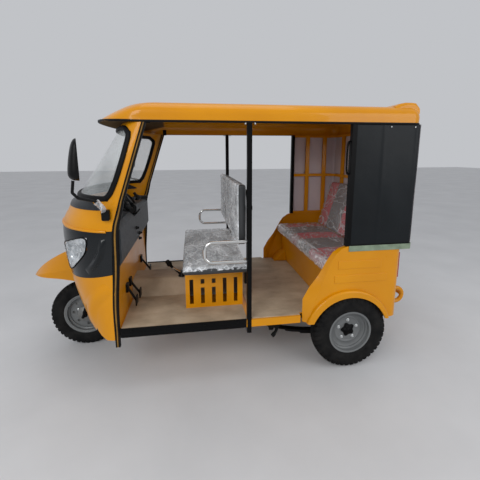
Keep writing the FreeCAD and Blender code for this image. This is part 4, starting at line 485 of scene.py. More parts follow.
def hub(name, body, x, y, z, out, profile, finish, lobes=0, depth=0.0):
    """A stepped hub turned round the axle; its lobes make it star shaped."""
    skin = Skin().spun(np.array(profile) / 1000, at(x, y, z), (0, out, 0), 80, 0, lobes, depth)
    skin.build(name, finish, body, slot="black_paint")


# Profiles of (how far out, radius)
BEAD = [(-3, 150), (-0.5, 153), (1.0, 157), (1.2, 162), (0, 166), (-3, 167.5)]
REAR_DRUM = [(0, 1), (0, 122), (2, 124), (30, 124), (30, 60)]
FRONT_DRUM = REAR_DRUM[:3] + [(26, 124), (26, 60)]
STAR = [(0, 46), (3.5, 46), (6, 42), (6, 30), (13, 27), (16, 22), (16, 9), (20, 8), (21, 1e-2)]
DISH_RING = [(-3, 84), (1.0, 88), (3.4, 93), (3.4, 98), (0.8, 101), (-1.2, 112), (-0.8, 124), (2.0, 130),
             (5, 134)]
BRAKE = [(0, 64), (2, 64), (4, 60), (4, 46), (9, 40), (11, 30), (11, 1e-2)]

for side, sign in (("left", -1), ("right", 1)):
    wheel = f"rear_wheel_{side}"
    hub(f"rear_{side}_drum", wheel, REAR_AXLE, 584 * sign, REAR_RADIUS, -sign, REAR_DRUM, casting)
    nuts(f"rear_{side}_nuts", wheel, REAR_AXLE, 589.2 * sign, REAR_RADIUS, 9, sign)
    hub(f"rear_{side}_star", wheel, REAR_AXLE, 592.3 * sign, REAR_RADIUS, sign, STAR, black, 5, 0.14)
    hub(f"rear_{side}_rim_bead", wheel, REAR_AXLE, 637.2 * sign, REAR_RADIUS, sign, BEAD, rim_grey)
    hub(f"rear_{side}_dish_ring", wheel, REAR_AXLE, 590.0 * sign, REAR_RADIUS, sign, DISH_RING, rim_grey)
nuts("front_nuts", "front_wheel", 0, -3.6, FRONT_RADIUS, 8, -1)
hub("front_drum", "front_wheel", 0, 2.0, FRONT_RADIUS, 1, FRONT_DRUM, casting)
for sign, word in ((-1, "near"), (1, "far")):
    hub(f"front_{word}_rim_bead", "front_wheel", 0, 46 * sign, FRONT_RADIUS, sign, BEAD, rim_grey)
    hub(f"front_{word}_brake", "steering", 0, 46.6 * sign, FRONT_RADIUS, sign, BRAKE, casting, 7, 0.03)


# The bent front
SHOULDER = 1158
# Height, the nose's place, the doorway's place
LOW = np.array([(367, 97, 365), (505, 49, 365), (744, -25, 377), (962, -55, 389), (1080, -50, 396),
                (SHOULDER, -12, 416)], float)
HIGH = np.array([(SHOULDER, -12, 416), (1225, 22, 437), (1260, 70, 447), (EAVES, 402, 604)], float)


def front_line(column):
    """A place along the vehicle for each height: one polynomial up to the shoulder, straight runs above it."""
    middle, reach = 760, 400
    fit = np.polyfit((LOW[:, 0] - middle) / reach, LOW[:, column], len(LOW) - 1)

    def line(z):
        curve = np.polyval(fit, (z - middle) / reach)
        return np.where(z < SHOULDER, curve, np.interp(z, HIGH[:, 0], HIGH[:, column]))
    return line


nose_line, door_line = front_line(1), front_line(2)


def on_cowl(y, z, proud=0.0):
    """The bent front from ahead: half an ellipse in plan between the door line and the nose line."""
    share = np.sqrt(np.maximum(1 - (y / (HALF + proud)) ** 2, 0))
    return at(door_line(z) - (door_line(z) - nose_line(z) + proud) * share, y, z)


def on_side(x, z, proud=0.0, sign=-1):
    """The bent front from the side: the same half ellipse solved for the place across."""
    share = np.clip((door_line(z) - x) / (door_line(z) - nose_line(z) + proud), 0, 1)
    return at(x, sign * (HALF + proud) * np.sqrt(1 - share ** 2), z)


def run_along(points):
    """How far along a line of points each of them is."""
    return np.r_[0, np.cumsum(np.linalg.norm(np.diff(points, axis=0), axis=1))]


def through(points, count):
    """A smooth line through a few points: one polynomial for each coordinate, over the length along them."""
    points = np.asarray(points, float)
    run = run_along(points)
    t = np.linspace(0, 1, count)
    return np.stack([np.polyval(np.polyfit(run / run[-1], c, len(points) - 1), t) for c in points.T], 1)


def crease(name, points, width, height, finish, slot):
    """A line pressed into both flanks of the front.

    The strip's height is a hump across its width, steep on the front side, times a sine along it, so
    that it grows out of the panel and sinks back into it.
    """
    line = through(points, 90)
    way = unit(np.gradient(line, axis=0))
    c = np.linspace(-1, 1, 25)[None, :]
    x = line[:, :1] - way[:, 1:] * c * width / 2
    z = line[:, 1:] + way[:, :1] * c * width / 2
    fade = np.sin(np.pi * np.linspace(0, 1, 90))[:, None] ** 0.6
    hump = smooth(-0.8, -0.05, c) * (1 - smooth(-0.05, 1, c))
    proud = height * hump * fade - 0.5
    skin = Skin()
    for sign in (-1, 1):
        p = on_side(x, z, proud, sign)
        skin.grid(p if sign < 0 else p[::-1])
    skin.build(name, finish, slot=slot)


crease("band_crease", [(333, 1032), (325, 974), (298, 910), (259, 856), (217, 818)], 66, 20, slate,
       "slate_paint")
crease("apron_crease", [(355, 725), (299, 684), (247, 635), (214, 567), (182, 438)], 120, 17, yellow,
       "yellow_paint")


def belt_lip():
    """A rolled lip over the seam between the nose panel and the headlight band, falling slightly rearward."""
    level, nose, fall = 1089, -50, np.radians(1.5)
    y = HALF * np.sin(np.linspace(-0.98, 0.98, 160) * np.pi / 2)
    x = on_cowl(y, np.full_like(y, level - 1))[:, 0] * 1000 + MIDDLE
    z = level - (x - nose) * np.tan(fall)
    skin = Skin().tube(on_cowl(y, z, 1.5), 0.0078, 12)
    skin.build("belt_lip", yellow, slot="yellow_paint")


belt_lip()


def screen_seal():
    """A rubber bead round the windscreen, over its seal.

    The line runs along the foot, up one flank, back along the head and down the other flank, all on the
    bent front; averaging it with a bell curve rounds its corners. The section lies flat on the front,
    whose way out is the slope of the half ellipse's own formula.
    """
    z_foot, z_head, half_foot, half_head = 1274.0, 1686.0, 626, 579
    across = np.sin(np.linspace(-1, 1, 240) * np.pi / 2)
    foot = on_cowl(half_foot * across, np.full(240, z_foot))
    head = on_cowl(half_head * across[::-1], np.full(240, z_head))
    flank = np.array([(374, z_foot), (406, 1309), (442, 1388.5), (488.5, 1516), (526, 1633.5), (527, 1658),
                      (499.5, z_head)])
    run = run_along(flank)
    t = np.linspace(0, run[-1], 90)[1:-1]
    x, z = np.interp(t, run, flank[:, 0]), np.interp(t, run, flank[:, 1])
    loop = np.concatenate([foot, on_side(x, z, 0, 1), head, on_side(x[::-1], z[::-1], 0, -1)])
    run = run_along(np.r_[loop, loop[:1]])
    count, reach, corner = 600, 18, 0.022
    t = np.linspace(0, run[-1], count, endpoint=False)
    line = np.stack([np.interp(t, run, np.r_[c, c[:1]]) for c in loop.T], 1)
    near = range(-reach, reach + 1)
    bell = np.exp(-(np.array(near) * run[-1] / count / corner) ** 2)
    line = sum(w * np.roll(line, k, 0) for k, w in zip(near, bell / bell.sum()))
    x, y, z = line[:, 0] * 1000 + MIDDLE, line[:, 1] * 1000, line[:, 2] * 1000

    def ellipse(x, y, z):
        return ((door_line(z) - x) / (door_line(z) - nose_line(z))) ** 2 + (y / HALF) ** 2

    out = unit(np.stack([ellipse(x + a, y + b, z + c) - ellipse(x - a, y - b, z - c)
                         for a, b, c in np.eye(3)], 1))
    skin = Skin().tube(line + 0.004 * out, 0.0165, 14, closed=True, up=out, flat=0.6)
    skin.build("screen_seal", rubber, slot="black_rubber")


screen_seal()


# The lamp seen from ahead: across, up
LAMP = np.array([(601, 1037), (600, 962), (578, 909), (542, 866), (502, 829), (455, 800), (405, 790),
                 (350, 800), (305, 832), (288, 885), (318, 932), (392, 968), (479, 994), (557, 1024)], float)
BOWLS = ((505, 925, 74, 34, 12), (385, 858, 58, 28, 10))  # across, up, radius, depth, bulb's radius


def lamp_edge(count):
    """The lamp's outline as a smooth closed line: the nine slowest waves of its corner points' Fourier sum."""
    ring, fine, slowest = np.r_[LAMP, LAMP[:1]], 256, 9
    run = run_along(ring)
    t = np.linspace(0, run[-1], fine, endpoint=False)
    wave = np.fft.fft(np.interp(t, run, ring[:, 0]) + 1j * np.interp(t, run, ring[:, 1]))
    wave[slowest + 1:-slowest] = 0
    line = np.fft.ifft(wave)
    line = np.interp(np.linspace(0, fine, count, endpoint=False), np.arange(fine + 1), np.r_[line, line[:1]])
    return line.real, line.imag


def headlamp():
    """Each lamp: bowls and flutes of silvered plastic sunk behind a bulged clear lens with a dark rim.

    Both layers are polar grids over the outline. The bowls sink by a quarter circle of depth from their
    centres; flutes between them are a cosine of the place across.
    """
    ey, ez = lamp_edge(160)
    cy, cz = 455.0, 905.0
    r = np.linspace(0.004, 1, 70)[:, None]
    y, z = cy + (ey - cy) * r, cz + (ez - cz) * r
    sink = np.zeros_like(y)
    for by, bz, big, deep, _ in BOWLS:
        near = np.hypot(y - by, z - bz) / big
        sink = np.maximum(sink, deep * np.sqrt(np.clip(1 - near ** 2, 0, 1)) ** 0.8)
    flutes = 2.2 * np.cos(TAU * (y + 0.5 * z) / 26) * (sink < 1)
    bowl = -3 - sink + flutes
    bulge = 5 + 9 * (1 - r ** 2.4) + 0 * y
    for sign, word in ((-1, "left"), (1, "right")):
        inner = on_cowl(y * sign, z, bowl * smooth(1.0, 0.93, r) + 4.0 * smooth(0.93, 1.0, r))
        outer = on_cowl(y * sign, z, bulge)
        skin = Skin().grid(inner if sign > 0 else inner[:, ::-1], wrap_v=True)
        skin.build(f"lamp_{word}_reflector", lamp_facets, slot="lamp_lens")
        skin = Skin().grid(outer if sign > 0 else outer[:, ::-1], wrap_v=True)
        for by, bz, _, _, bulb in BOWLS:
            skin.spun([(0, bulb / 1000), (0.012, bulb / 1000), (0.02, bulb / 1400), (0.023, 1e-5)],
                      on_cowl(by * sign, bz, -26), (-1, 0.4 * sign, 0), 20)
        skin.build(f"lamp_{word}_lens", lamp_lens, replaces=["headlamps"] if sign < 0 else (), slot="lamp_lens")
        rim = on_cowl(ey * sign, ez, 2.0)
        skin = Skin().tube(rim, 0.0042, 10, closed=True)
        skin.build(f"lamp_{word}_rim", rubber, slot="black_rubber")


headlamp()


# Door edging
def door_edging():
    """Strips that follow the door's edge line from foot to eaves, on both sides: black, tan, black.

    Each is a rounded section in plan, carried up the edge line; its width follows the edging's own.
    """
    foot = LOW[0, 0]
    z = np.linspace(318, EAVES, 150)
    width = np.interp(z, np.r_[LOW[:, 0], HIGH[1:, 0]], (29, 33, 36, 38, 38, 36, 32, 29, 26))
    x = door_line(np.maximum(z, foot)) + 0.4
    inner = HALF - 22
    skin = Skin()
    for sign in (-1, 1):
        for low, high, proud, k in ((0.0, 0.3, 3, 0), (0.3, 0.63, 0.6, 1), (0.63, 1.0, 3, 0)):
            a, b, out = low * width, high * width, HALF + proud
            r = 0.22 * (b - a)
            ring = [(a, inner), (b, inner), (b, out - 4), (b - 0.3 * r, out - 1.2), (b - r, out), (a + r, out),
                    (a + 0.3 * r, out - 1.2), (a, out - 4)]
            p = np.stack([at(x + s, sign * o, z) for s, o in ring], 1)
            skin.grid(p if sign > 0 else p[:, ::-1], wrap_v=True, slot=k)
    skin.build("door_edging", [rubber, tan_trim], "body", ["door_edge_trims"], "black_rubber")


door_edging()


# Roof edge
def roof_plan(n=90):
    """The roof's lower edge: straight sides, rounded rear corners, and a brow that bows forward and rises.

    The brow is a superellipse of power 2.2 in plan; its rise is a power of one minus the square across.
    """
    shoulder, bow, rise, tail, corner_radius = 600, 355, 30, 2388.0, 70
    y = HALF * np.sin(np.linspace(-1, 1, 3 * n) * np.pi / 2)
    x = shoulder - bow * np.sqrt(np.maximum(1 - np.abs(y / HALF) ** 2.2, 0))
    z = EAVES + rise * np.maximum(1 - (y / HALF) ** 2, 0) ** 0.75
    turn = np.linspace(0, np.pi / 2, 24)
    right = np.stack([np.linspace(shoulder + 20, 2300, n), np.full(n, HALF)], 1)
    corner = np.stack([tail - corner_radius * (1 - np.sin(turn)), HALF - corner_radius * (1 - np.cos(turn))], 1)
    back = np.stack([np.full(n, tail), np.linspace(HALF - 100, 100 - HALF, n)], 1)
    rest = np.concatenate([right, corner, back, corner[::-1] * (1, -1), right[::-1] * (1, -1)])
    plan = np.concatenate([np.stack([x, y], 1), rest])
    return plan, np.concatenate([z, np.full(len(rest), float(EAVES))])


def roof_edging():
    """A rubber strip with a rounded section clipped over the roof's lower edge all round."""
    plan, z = roof_plan()
    way = unit(np.roll(plan, -1, 0) - np.roll(plan, 1, 0))
    out = np.stack([way[:, 1], -way[:, 0]], 1)
    out *= np.sign((out * (plan - (1200, 0))).sum(1, keepdims=True))
    section = [(-7, -3.4), (0.5, -3.4), (2.2, -1.5), (2.6, 3), (2.4, 8), (1.2, 9.6), (-7, 9.6)]
    p = np.stack([at(plan[:, 0] + a * out[:, 0], plan[:, 1] + a * out[:, 1], z + b) for a, b in section], 1)
    skin = Skin().grid(p[:, ::-1], wrap_u=True, wrap_v=True)
    skin.build("roof_edging", rubber, slot="black_rubber")


roof_edging()


def header_strips():
    """The upper ends of the door edging, turned up inside the roof's skirt."""
    skin = Skin()
    for sign in (-1, 1):
        path = at([634] * 4, [627.5 * sign] * 4, [1712, 1728, 1746, 1762])
        skin.tube(path, 0.016, 12, up=(0, 1, 0), flat=0.1)
    skin.build("header_strips", rubber, slot="black_rubber")


header_strips()


# Small fastenings
def domes(name, places, radius, finish, slot):
    """Domed heads: each place gives a point and the way it faces."""
    skin = Skin()
    r = radius / 1000
    for x, y, z, out in places:
        skin.spun([(-0.001, r), (r * 0.25, r), (r * 0.55, r * 0.8), (r * 0.75, r * 0.4), (r * 0.8, 1e-5)],
                  at(x, y, z), out, 16)
    skin.build(name, finish, slot=slot)


rivets = [(x, s * (HALF - 4), EAVES - 17, (0, s, 0)) for s in (-1, 1) for x in (2163, 2333)]
rivets += [(x, s * (HALF + 1.5), EAVES - 7, (0, s, 0)) for s in (-1, 1) for x in (1207, 1266)]
domes("curtain_rivets", rivets, 5.5, zinc, "chrome")
sill_bolts = [(x, s * (HALF + 6.3), FLOOR, (0, s, 0)) for s in (-1, 1) for x in (470, 700, 930, 1150)]
domes("sill_bolts", sill_bolts, 7, black, "black_paint")


def sill_lower_edge():
    """A flat bar with eased edges under each sill: its section in y and z, carried along x."""
    skin = Skin()
    ring = [(0.4, 382), (4, 382), (5.5, 384), (5.5, 406), (4, 408), (0.4, 408)]
    for sign in (-1, 1):
        p = np.stack([at([402, 600, 900, 1213], sign * (HALF + proud), z) for proud, z in ring], 1)
        skin.grid(p if sign > 0 else p[:, ::-1], wrap_v=True)
        for end in (p[0], p[-1]):
            skin.fan(end, True)
    skin.build("sill_lower_edge", black, slot="black_paint")


sill_lower_edge()


# Gear lever, switches
def gear_knob():
    """A grip that widens upward to a rounded top, and the bright rod under it."""
    skin = Skin()
    skin.spun([(0, 1e-4), (0, 0.009), (0.02, 0.012), (0.045, 0.017), (0.062, 0.0185), (0.072, 0.016),
               (0.077, 0.009), (0.078, 1e-5)], at(703, -103, 640), (-0.55, -0.1, 0.83), 28)
    skin.build("gear_knob", black_plastic, slot="black_paint")
    rod = np.linspace((704, -103, 640), (786, -92, 585), 12)
    Skin().tube(placed(rod), 0.0075, 14).build("gear_rod", chrome, slot="chrome")


gear_knob()


def dash_switches():
    """Three round knobs on the dashboard's face, one profile turned at each place."""
    knob = [(0, 0.013), (0.006, 0.013), (0.008, 0.011), (0.02, 0.0095), (0.024, 0.006), (0.0245, 1e-5)]
    skin = Skin()
    for y, z in ((-82, 973), (35, 905), (10, 866)):
        skin.spun(knob, at(439, y, z), (1, 0, 0.05), 24)
    skin.build("dash_switches", black_plastic, slot="black_paint")


dash_switches()


# Handlebar fittings
def handlebar_fittings():
    """An instrument pod on the bar's middle, and a switch box beside each grip.

    The pod is a round profile turned about the way it faces; the boxes are fat tubes along the bar.
    """
    skin = Skin()
    face = np.array([0.80, 0, 0.60])
    centre = at(384, 0, 1178)
    pod = [(-0.052, 1e-4), (-0.050, 0.03), (-0.030, 0.052), (0.0, 0.060), (0.014, 0.060), (0.018, 0.057),
           (0.018, 0.052), (0.010, 0.050), (0.010, 1e-4)]
    skin.spun(pod, centre, face, 48)
    skin.tube(at([390, 386], [0, 0], [1135, 1165]), 0.022, 20, up=(1, 0, 0))
    for sign in (-1, 1):
        path = np.linspace((396, 198 * sign, 1173), (424, 262 * sign, 1167), 12)
        fat = 0.020 * (1 - np.abs(np.linspace(-1, 1, 12)) ** 6 * 0.3)
        skin.tube(placed(path), fat, 20)
        skin.tube(at([405, 384], [225 * sign] * 2, [1180, 1214]), [0.014, 0.011], 14, up=(0, 1, 0))
    skin.build("handlebar_fittings", black_plastic, "steering", slot="black_paint")


handlebar_fittings()


# Mirrors
def mirror_housing(sign):
    """The mirror's shell: sections up its height, each a half superellipse whose depth swells low down and
    thins towards the top, closed at the back by a rim round the sunken glass."""
    toe = np.radians(19) * -sign
    wide, deep = np.array([-np.sin(toe), np.cos(toe), 0]), np.array([np.cos(toe), np.sin(toe), 0])
    foot, tall, steps = np.array([262, 762 * sign, 1394.0]), 224, 24
    h = np.linspace(0, 1, 46)
    size = (1 - np.abs(2 * h - 1) ** 7) ** 0.5
    half = 84 * (1 - 0.16 * h ** 4) * np.maximum(size, 0.02)
    depth = 56 * (1 - 0.66 * h ** 1.8) * np.maximum(size, 0.05)
    a = np.linspace(0, np.pi, 40)
    across = np.sign(np.cos(a)) * np.abs(np.cos(a)) ** 0.75
    front = np.sin(a) ** 0.75
    p = (foot + h[:, None, None] * (0, 0, tall) + (half[:, None] * across)[:, :, None] * wide
         - (depth[:, None] * front - 20)[:, :, None] * deep)
    skin = Skin().grid(placed(p))
    t = np.linspace(0, 1, steps)
    back = p[:, :1] * (1 - t[None, :, None]) + p[:, -1:] * t[None, :, None]
    inset = np.minimum(np.minimum(t, 1 - t)[None, :] * 14, np.minimum(h, 1 - h)[:, None] * 18)
    back = back - np.minimum(inset * 6, 5)[:, :, None] * deep
    glass = (inset > 0.7)[:-1, :-1][:, ::-1]
    back = placed(back[:, ::-1])
    skin.grid(back, keep=~glass).grid(back, keep=glass, slot=1)
    skin.build(f"mirror_{'left' if sign < 0 else 'right'}", [black_plastic, mirror_glass],
               replaces=["mirror_heads"] if sign < 0 else (), slot="black_paint", weld=1e-6)


mirror_housing(-1)
mirror_housing(1)


def brake_bracket():
    """A lever and its bracket under the floor: round bars along gentle curves, the lever thicker at its end."""
    y, skin = -520, Skin()
    bar = through([(1388, y, 322), (1430, y, 306), (1484, y, 316)], 20)
    lever = through([(1462, y, 312), (1450, y, 262), (1424, y, 226)], 20)
    skin.tube(placed(bar), 0.013, 14, up=(0, 1, 0))
    skin.tube(placed(lever), [0.011] * 14 + [0.015] * 6, 14, up=(0, 1, 0))
    skin.tube(at([1436, 1436], [y, y], [306, 378]), 0.009, 12, up=(1, 0, 0))
    skin.build("brake_bracket", chassis_black, slot="black_paint")


brake_bracket()


# Seats
def vinyl_finish(name, colour, dark):
    """Leather cloth: a slow drift of tone and a fine cell grain."""
    f = Finish(name, colour, 0.45, coat=0.15).tones(6, 5, dark, colour)
    cells = f.node("TexVoronoi", {"Vector": f.object}, Scale=650.0)
    return f.bump(cells.outputs["Distance"], 0.35, 0.0006).material


def stripe_finish(name, edges):
    """Woven cover with broad red and grey bands; edges are the places across the vehicle where they change."""
    f, half = Finish(name, (180, 90, 90), 0.6), 0.62
    parts = f.node("SeparateXYZ", {"Vector": f.object})
    across = f.node("MapRange", {"Value": parts.outputs["Y"]}, From_Min=-half, From_Max=half).outputs[0]
    red, grey = srgb(196, 66, 80), srgb(104, 102, 104)
    stops = [(0.0, red)]
    for k, edge in enumerate(edges):
        before, after = (red, grey) if k % 2 == 0 else (grey, red)
        place = (edge / 1000 + half) / (2 * half)
        stops += [(place - 0.001, before), (place + 0.001, after)]
    stops.append((1.0, red))
    f.link("Base Color", f.ramp(across, stops))
    weave = f.node("TexWave", {"Vector": f.object}, Scale=220.0, Distortion=2.0)
    return f.bump(weave.outputs[0], 0.25, 0.0008).material


def film_finish(name, clear, bright):
    """Crinkled clear wrap: a patchy haze, with a painted highlight that whitens it along its creases.

    The creases are the cell edges of a coarse and a fine cell pattern whose coordinates a slow noise bends.
    """
    f = Finish(name, (238, 241, 244), 0.16, IOR=1.45, coat=0.4)
    place = f.scaled(f.object, (1.5, 0.6, 1.0))
    sway = f.node("TexNoise", {"Vector": place}, Scale=5.0, Detail=2.0).outputs[1]
    bent = f.node("MixRGB", {"Color1": place, "Color2": sway}, Fac=0.35).outputs[0]
    crumple = f.node("TexVoronoi", {"Vector": bent}, feature="DISTANCE_TO_EDGE", Scale=9.0).outputs[0]
    fine = f.node("TexVoronoi", {"Vector": bent}, feature="DISTANCE_TO_EDGE", Scale=31.0).outputs[0]
    cover = f.ramp(f.noise(place, 6, 5, 0.6), [(0.35, (clear * 0.6,) * 3), (0.66, (clear * 1.5,) * 3)])
    # painted highlight: along the crease lines the film is made more opaque, up to bright, so it shows white
    # there
    for cells, wide, level in ((crumple, 0.05, bright), (fine, 0.06, bright * 0.5)):
        lines = f.ramp(cells, [(0.0, (level,) * 3), (wide, (0.0,) * 3), (1.0, (0.0,) * 3)])
        cover = f.node("MixRGB", {"Color1": cover, "Color2": lines}, blend_type="ADD", Fac=1.0).outputs[0]
    f.link("Alpha", cover)
    return f.bump(crumple, 0.6, 0.03).material


grey_vinyl = vinyl_finish("grey_vinyl", (150, 154, 154), (128, 132, 133))
dark_vinyl = vinyl_finish("dark_vinyl", (52, 54, 56), (38, 40, 42))
bench_cover = stripe_finish("bench_cover", (-290, -5, 195, 450))
back_cover = stripe_finish("back_cover", (-410, -140, 140, 410))
# the last number is the strength of the painted highlight along the wraps' creases
clear_wrap = film_finish("clear_wrap", 0.5, 0.4)
thin_wrap = film_finish("thin_wrap", 0.2, 0.4)


def middle_and_half(low, high):
    """A box's middle and its half size, from its two corners."""
    low, high = np.asarray(low, float), np.asarray(high, float)
    return (low + high) / 2, (high - low) / 2


def pillow(name, low, high, r, puff, mats, node, slot_name, seed, lean=None, side_slot=None):
    """A box cushion: six grids with rounded edges that swell between the seams and pucker beside them.

    A point on the box is drawn to an inner box and pushed out again by r, which rounds every edge. It
    then moves along its normal by puff times the product of one minus the square of its place in each
    direction, and by small random waves.
    """
    mid, half = middle_and_half(low, high)
    skin = Skin()
    steps = [np.r_[np.linspace(-h, r - h, 6), np.linspace(r - h, h - r, max(6, int(h / 7)))[1:-1],
                   np.linspace(h - r, h, 6)] for h in half]
    for k in range(3):
        a, b = np.meshgrid(steps[(k + 1) % 3], steps[(k + 2) % 3], indexing="ij")
        for sign in (-1, 1):
            p = np.empty(a.shape + (3,))
            p[..., k], p[..., (k + 1) % 3], p[..., (k + 2) % 3] = sign * half[k], a, b
            core = np.clip(p, r - half, half - r)
            n = unit(p - core)
            p = core + r * n
            share = 1 - (p / half) ** 2 * (1 - n ** 2)
            swell = puff * np.prod(share, -1) + 1.4 * waves((p[..., 0] + 0.6 * p[..., 2]) / 400,
                                                            (p[..., 1] + 0.4 * p[..., 2]) / 400, seed)
            p = p + n * swell[..., None] + mid
            if lean is not None:
                p = lean(p)
            grid = placed(p)
            slot = side_slot[k] if side_slot else 0
            skin.grid(grid if sign > 0 else grid[::-1], slot=slot)
    thing = skin.build(name, mats, "body", [node], slot_name, weld=1e-6)


def welt(name, low, high, level, axis, r, finish, slot_name):
    """Piping round a cushion: a closed rounded rectangle at one level of the given axis."""
    mid, half = middle_and_half(low, high)
    a = np.linspace(0, TAU, 400, endpoint=False)
    u, v = [k for k in range(3) if k != axis]
    p = np.empty((len(a), 3))
    square = np.maximum(np.abs(np.cos(a)), np.abs(np.sin(a)))
    for k, c in ((u, np.cos(a)), (v, np.sin(a))):
        p[:, k] = np.clip(c / square, -1, 1) * half[k]
    core = np.clip(p[:, [u, v]], r - half[[u, v]], half[[u, v]] - r)
    p[:, [u, v]] = core + (r + 0.5) * unit(p[:, [u, v]] - core)
    p[:, axis] = level - mid[axis]
    skin = Skin().tube(placed(p + mid), 0.0032, 8, closed=True, up=np.eye(3)[axis])
    skin.build(name, finish, slot=slot_name)


# Low and high corners of the cushions' boxes
CUSHION = (803, -545, 735), (1235, 545, 783)
BACK = (1171, -580, 945), (1221, 580, 1338)
BENCH = (1778, -606, 729), (2205, 606, 799)
BENCH_BACK = (2206, -592, 804), (2290, 592, 1240)


def leaning(p):
    """The passenger backrest: above its foot it leans rearward, thinner towards the top."""
    foot, tall, lean, thinning = BENCH_BACK[0][2] - 3, 402, 60, 62
    front_x, thick = BENCH_BACK[0][0], BENCH_BACK[1][0] - BENCH_BACK[0][0]
    p = p.copy()
    rise = np.clip((p[..., 2] - foot) / tall, 0, 1.2)
    front = 1 - np.clip((p[..., 0] - front_x) / thick, 0, 1)
    p[..., 0] += lean * rise + thinning * rise * front
    return p


VINYL = [grey_vinyl, dark_vinyl]
pillow("driver_cushion", *CUSHION, 14, 7, VINYL, "driver_seat_cushion", "seat_vinyl", 11, side_slot=(1, 1, 0))
pillow("driver_back", *BACK, 16, 5, VINYL, "driver_backrest", "seat_vinyl", 12, side_slot=(0, 1, 1))
pillow("rear_cushion", *BENCH, 20, 8, [bench_cover], "rear_seat_cushion", "striped_seat", 13)
pillow("rear_back", *BENCH_BACK, 22, 9, [back_cover], "rear_backrest", "striped_seat", 14, lean=leaning)
welt("driver_cushion_welt", *CUSHION, 775, 2, 14, dark_vinyl, "seat_vinyl")
welt("driver_back_welt", *BACK, 1178, 0, 16, dark_vinyl, "seat_vinyl")
welt("rear_cushion_welt", *BENCH, 790, 2, 20, bench_cover, "striped_seat")


def film(name, middle, along, across, up, size, over, lift, crinkle, seed, finish, lean=None):
    """Clear film over a cushion: flat on its top, turned down past its edges.

    s and t run along and across. Past the half size the film turns by a softened corner: the drop is
    r log(1 + exp((s - half) / r)) and the place is what is left of s. Folds stand off the cushion.
    over gives how far the film hangs past the cushion's face: back and front along, then both ways across.
    """
    along, across, up = (np.asarray(v, float) for v in (along, across, up))
    nu, nv = (int(min(260, max(24, (size[k] + over[2 * k] + over[2 * k + 1]) / 6))) for k in (0, 1))
    s = np.linspace(-size[0] / 2 - over[0], size[0] / 2 + over[1], nu)[:, None]
    t = np.linspace(-size[1] / 2 - over[2], size[1] / 2 + over[3], nv)[None, :]
    r = 5.0
    ds, dt = (r * np.log1p(np.exp(np.minimum((np.abs(q) - whole / 2) / r, 60)))
              for q, whole in zip((s, t), size))
    down = np.hypot(ds, dt)
    top = np.exp(-down / 10)
    height = crinkle * (folds(s / 300, t / 300, seed) + 0.5 * folds(s / 120, t / 120, seed + 1, 1, 5))
    a = np.sign(s) * (np.abs(s) - 0.94 * ds) + 0 * t
    b = np.sign(t) * (np.abs(t) - 0.94 * dt) + 0 * s
    p = (np.asarray(middle, float) + a[..., None] * along + b[..., None] * across
         + (lift - 0.97 * down + height * top)[..., None] * up
         + (np.sign(s) * height * (1 - top) * ds / (ds + dt + 1e-6))[..., None] * along
         + (np.sign(t) * height * (1 - top) * dt / (ds + dt + 1e-6))[..., None] * across)
    if lean is not None:
        p = lean(p)
    grid = placed(p)
    turned = np.dot(np.cross(along, across), up) < 0
    thing = Skin().grid(grid[::-1] if turned else grid).build(name, finish, slot="clear_glass")


def mirror_film():
    """Wrap left round the foot of each mirror's arm: a tube whose folds swell it, open at both ends."""
    steps, sides = 50, 24
    u, v = np.linspace(0, 0.3, steps)[:, None], np.linspace(0, 0.3, sides, endpoint=False)[None, :]
    for sign, word in ((-1, "left"), (1, "right")):
        route = [(364, 666 * sign, 1213), (371, 724 * sign, 1246), (352, 746 * sign, 1276)]
        swell = 1.0 + 0.45 * folds(u, v * 2, 31 + sign)
        skin = Skin().tube(placed(through(route, steps)), 0.0125, sides, ends=False, swell=swell, up=(1, 0, 0))
        thing = skin.build(f"mirror_{word}_wrap", clear_wrap, slot="clear_glass")


mirror_film()
X, Y, Z = np.eye(3)
film("driver_cushion_wrap", (1019, 0, CUSHION[1][2] + 7), X, Y, Z, (432, 1090), (22, 4, 30, 30), 2.5, 5, 21,
     clear_wrap)
film("driver_back_wrap", (BACK[0][0] - 5, 0, 1141), Z, Y, -X, (393, 1160), (6, 22, 8, 8), 2.5, 5, 23,
     clear_wrap)
film("bench_wrap", (1991, 0, BENCH[1][2] + 8), X, Y, Z, (427, 1212), (40, 2, 10, 10), 2.5, 4, 25,
     thin_wrap)
film("bench_front_wrap", (BENCH[0][0] - 8, 0, 764), Z, Y, -X, (70, 1212), (4, 60, 4, 4), 5.0, 7, 27,
     clear_wrap)
film("rear_back_wrap", (BENCH_BACK[0][0] - 9, 0, 1022), Z, Y, -X, (436, 1184), (2, 30, 6, 6), 2.5, 5, 29,
     thin_wrap, lean=leaning)


# Curtains
def canvas_finish(name, colour, dark, rough):
    """Coated cloth: a faint weave over slow ripples."""
    f = Finish(name, colour, rough, Specular_IOR_Level=0.2).tones(3, 4, dark, colour)
    weave = f.node("TexWave", {"Vector": f.cut}, Scale=160.0)
    f.bump(weave.outputs[0], 0.08, 0.0004)
    return f.bump(f.noise(f.object, 5, 3), 0.35, 0.01).material


canvas = canvas_finish("coated_canvas", (16, 21, 25), (12, 16, 19), 0.4)
lining = canvas_finish("canvas_lining", (206, 196, 200), (192, 182, 188), 0.7)


def canvas_wall(thing):
    """The cloth's thickness: canvas outside, lining inside."""
    wall = thing.modifiers.new("cloth", "SOLIDIFY")
    wall.thickness, wall.offset, wall.material_offset = 0.0018, -1, 1


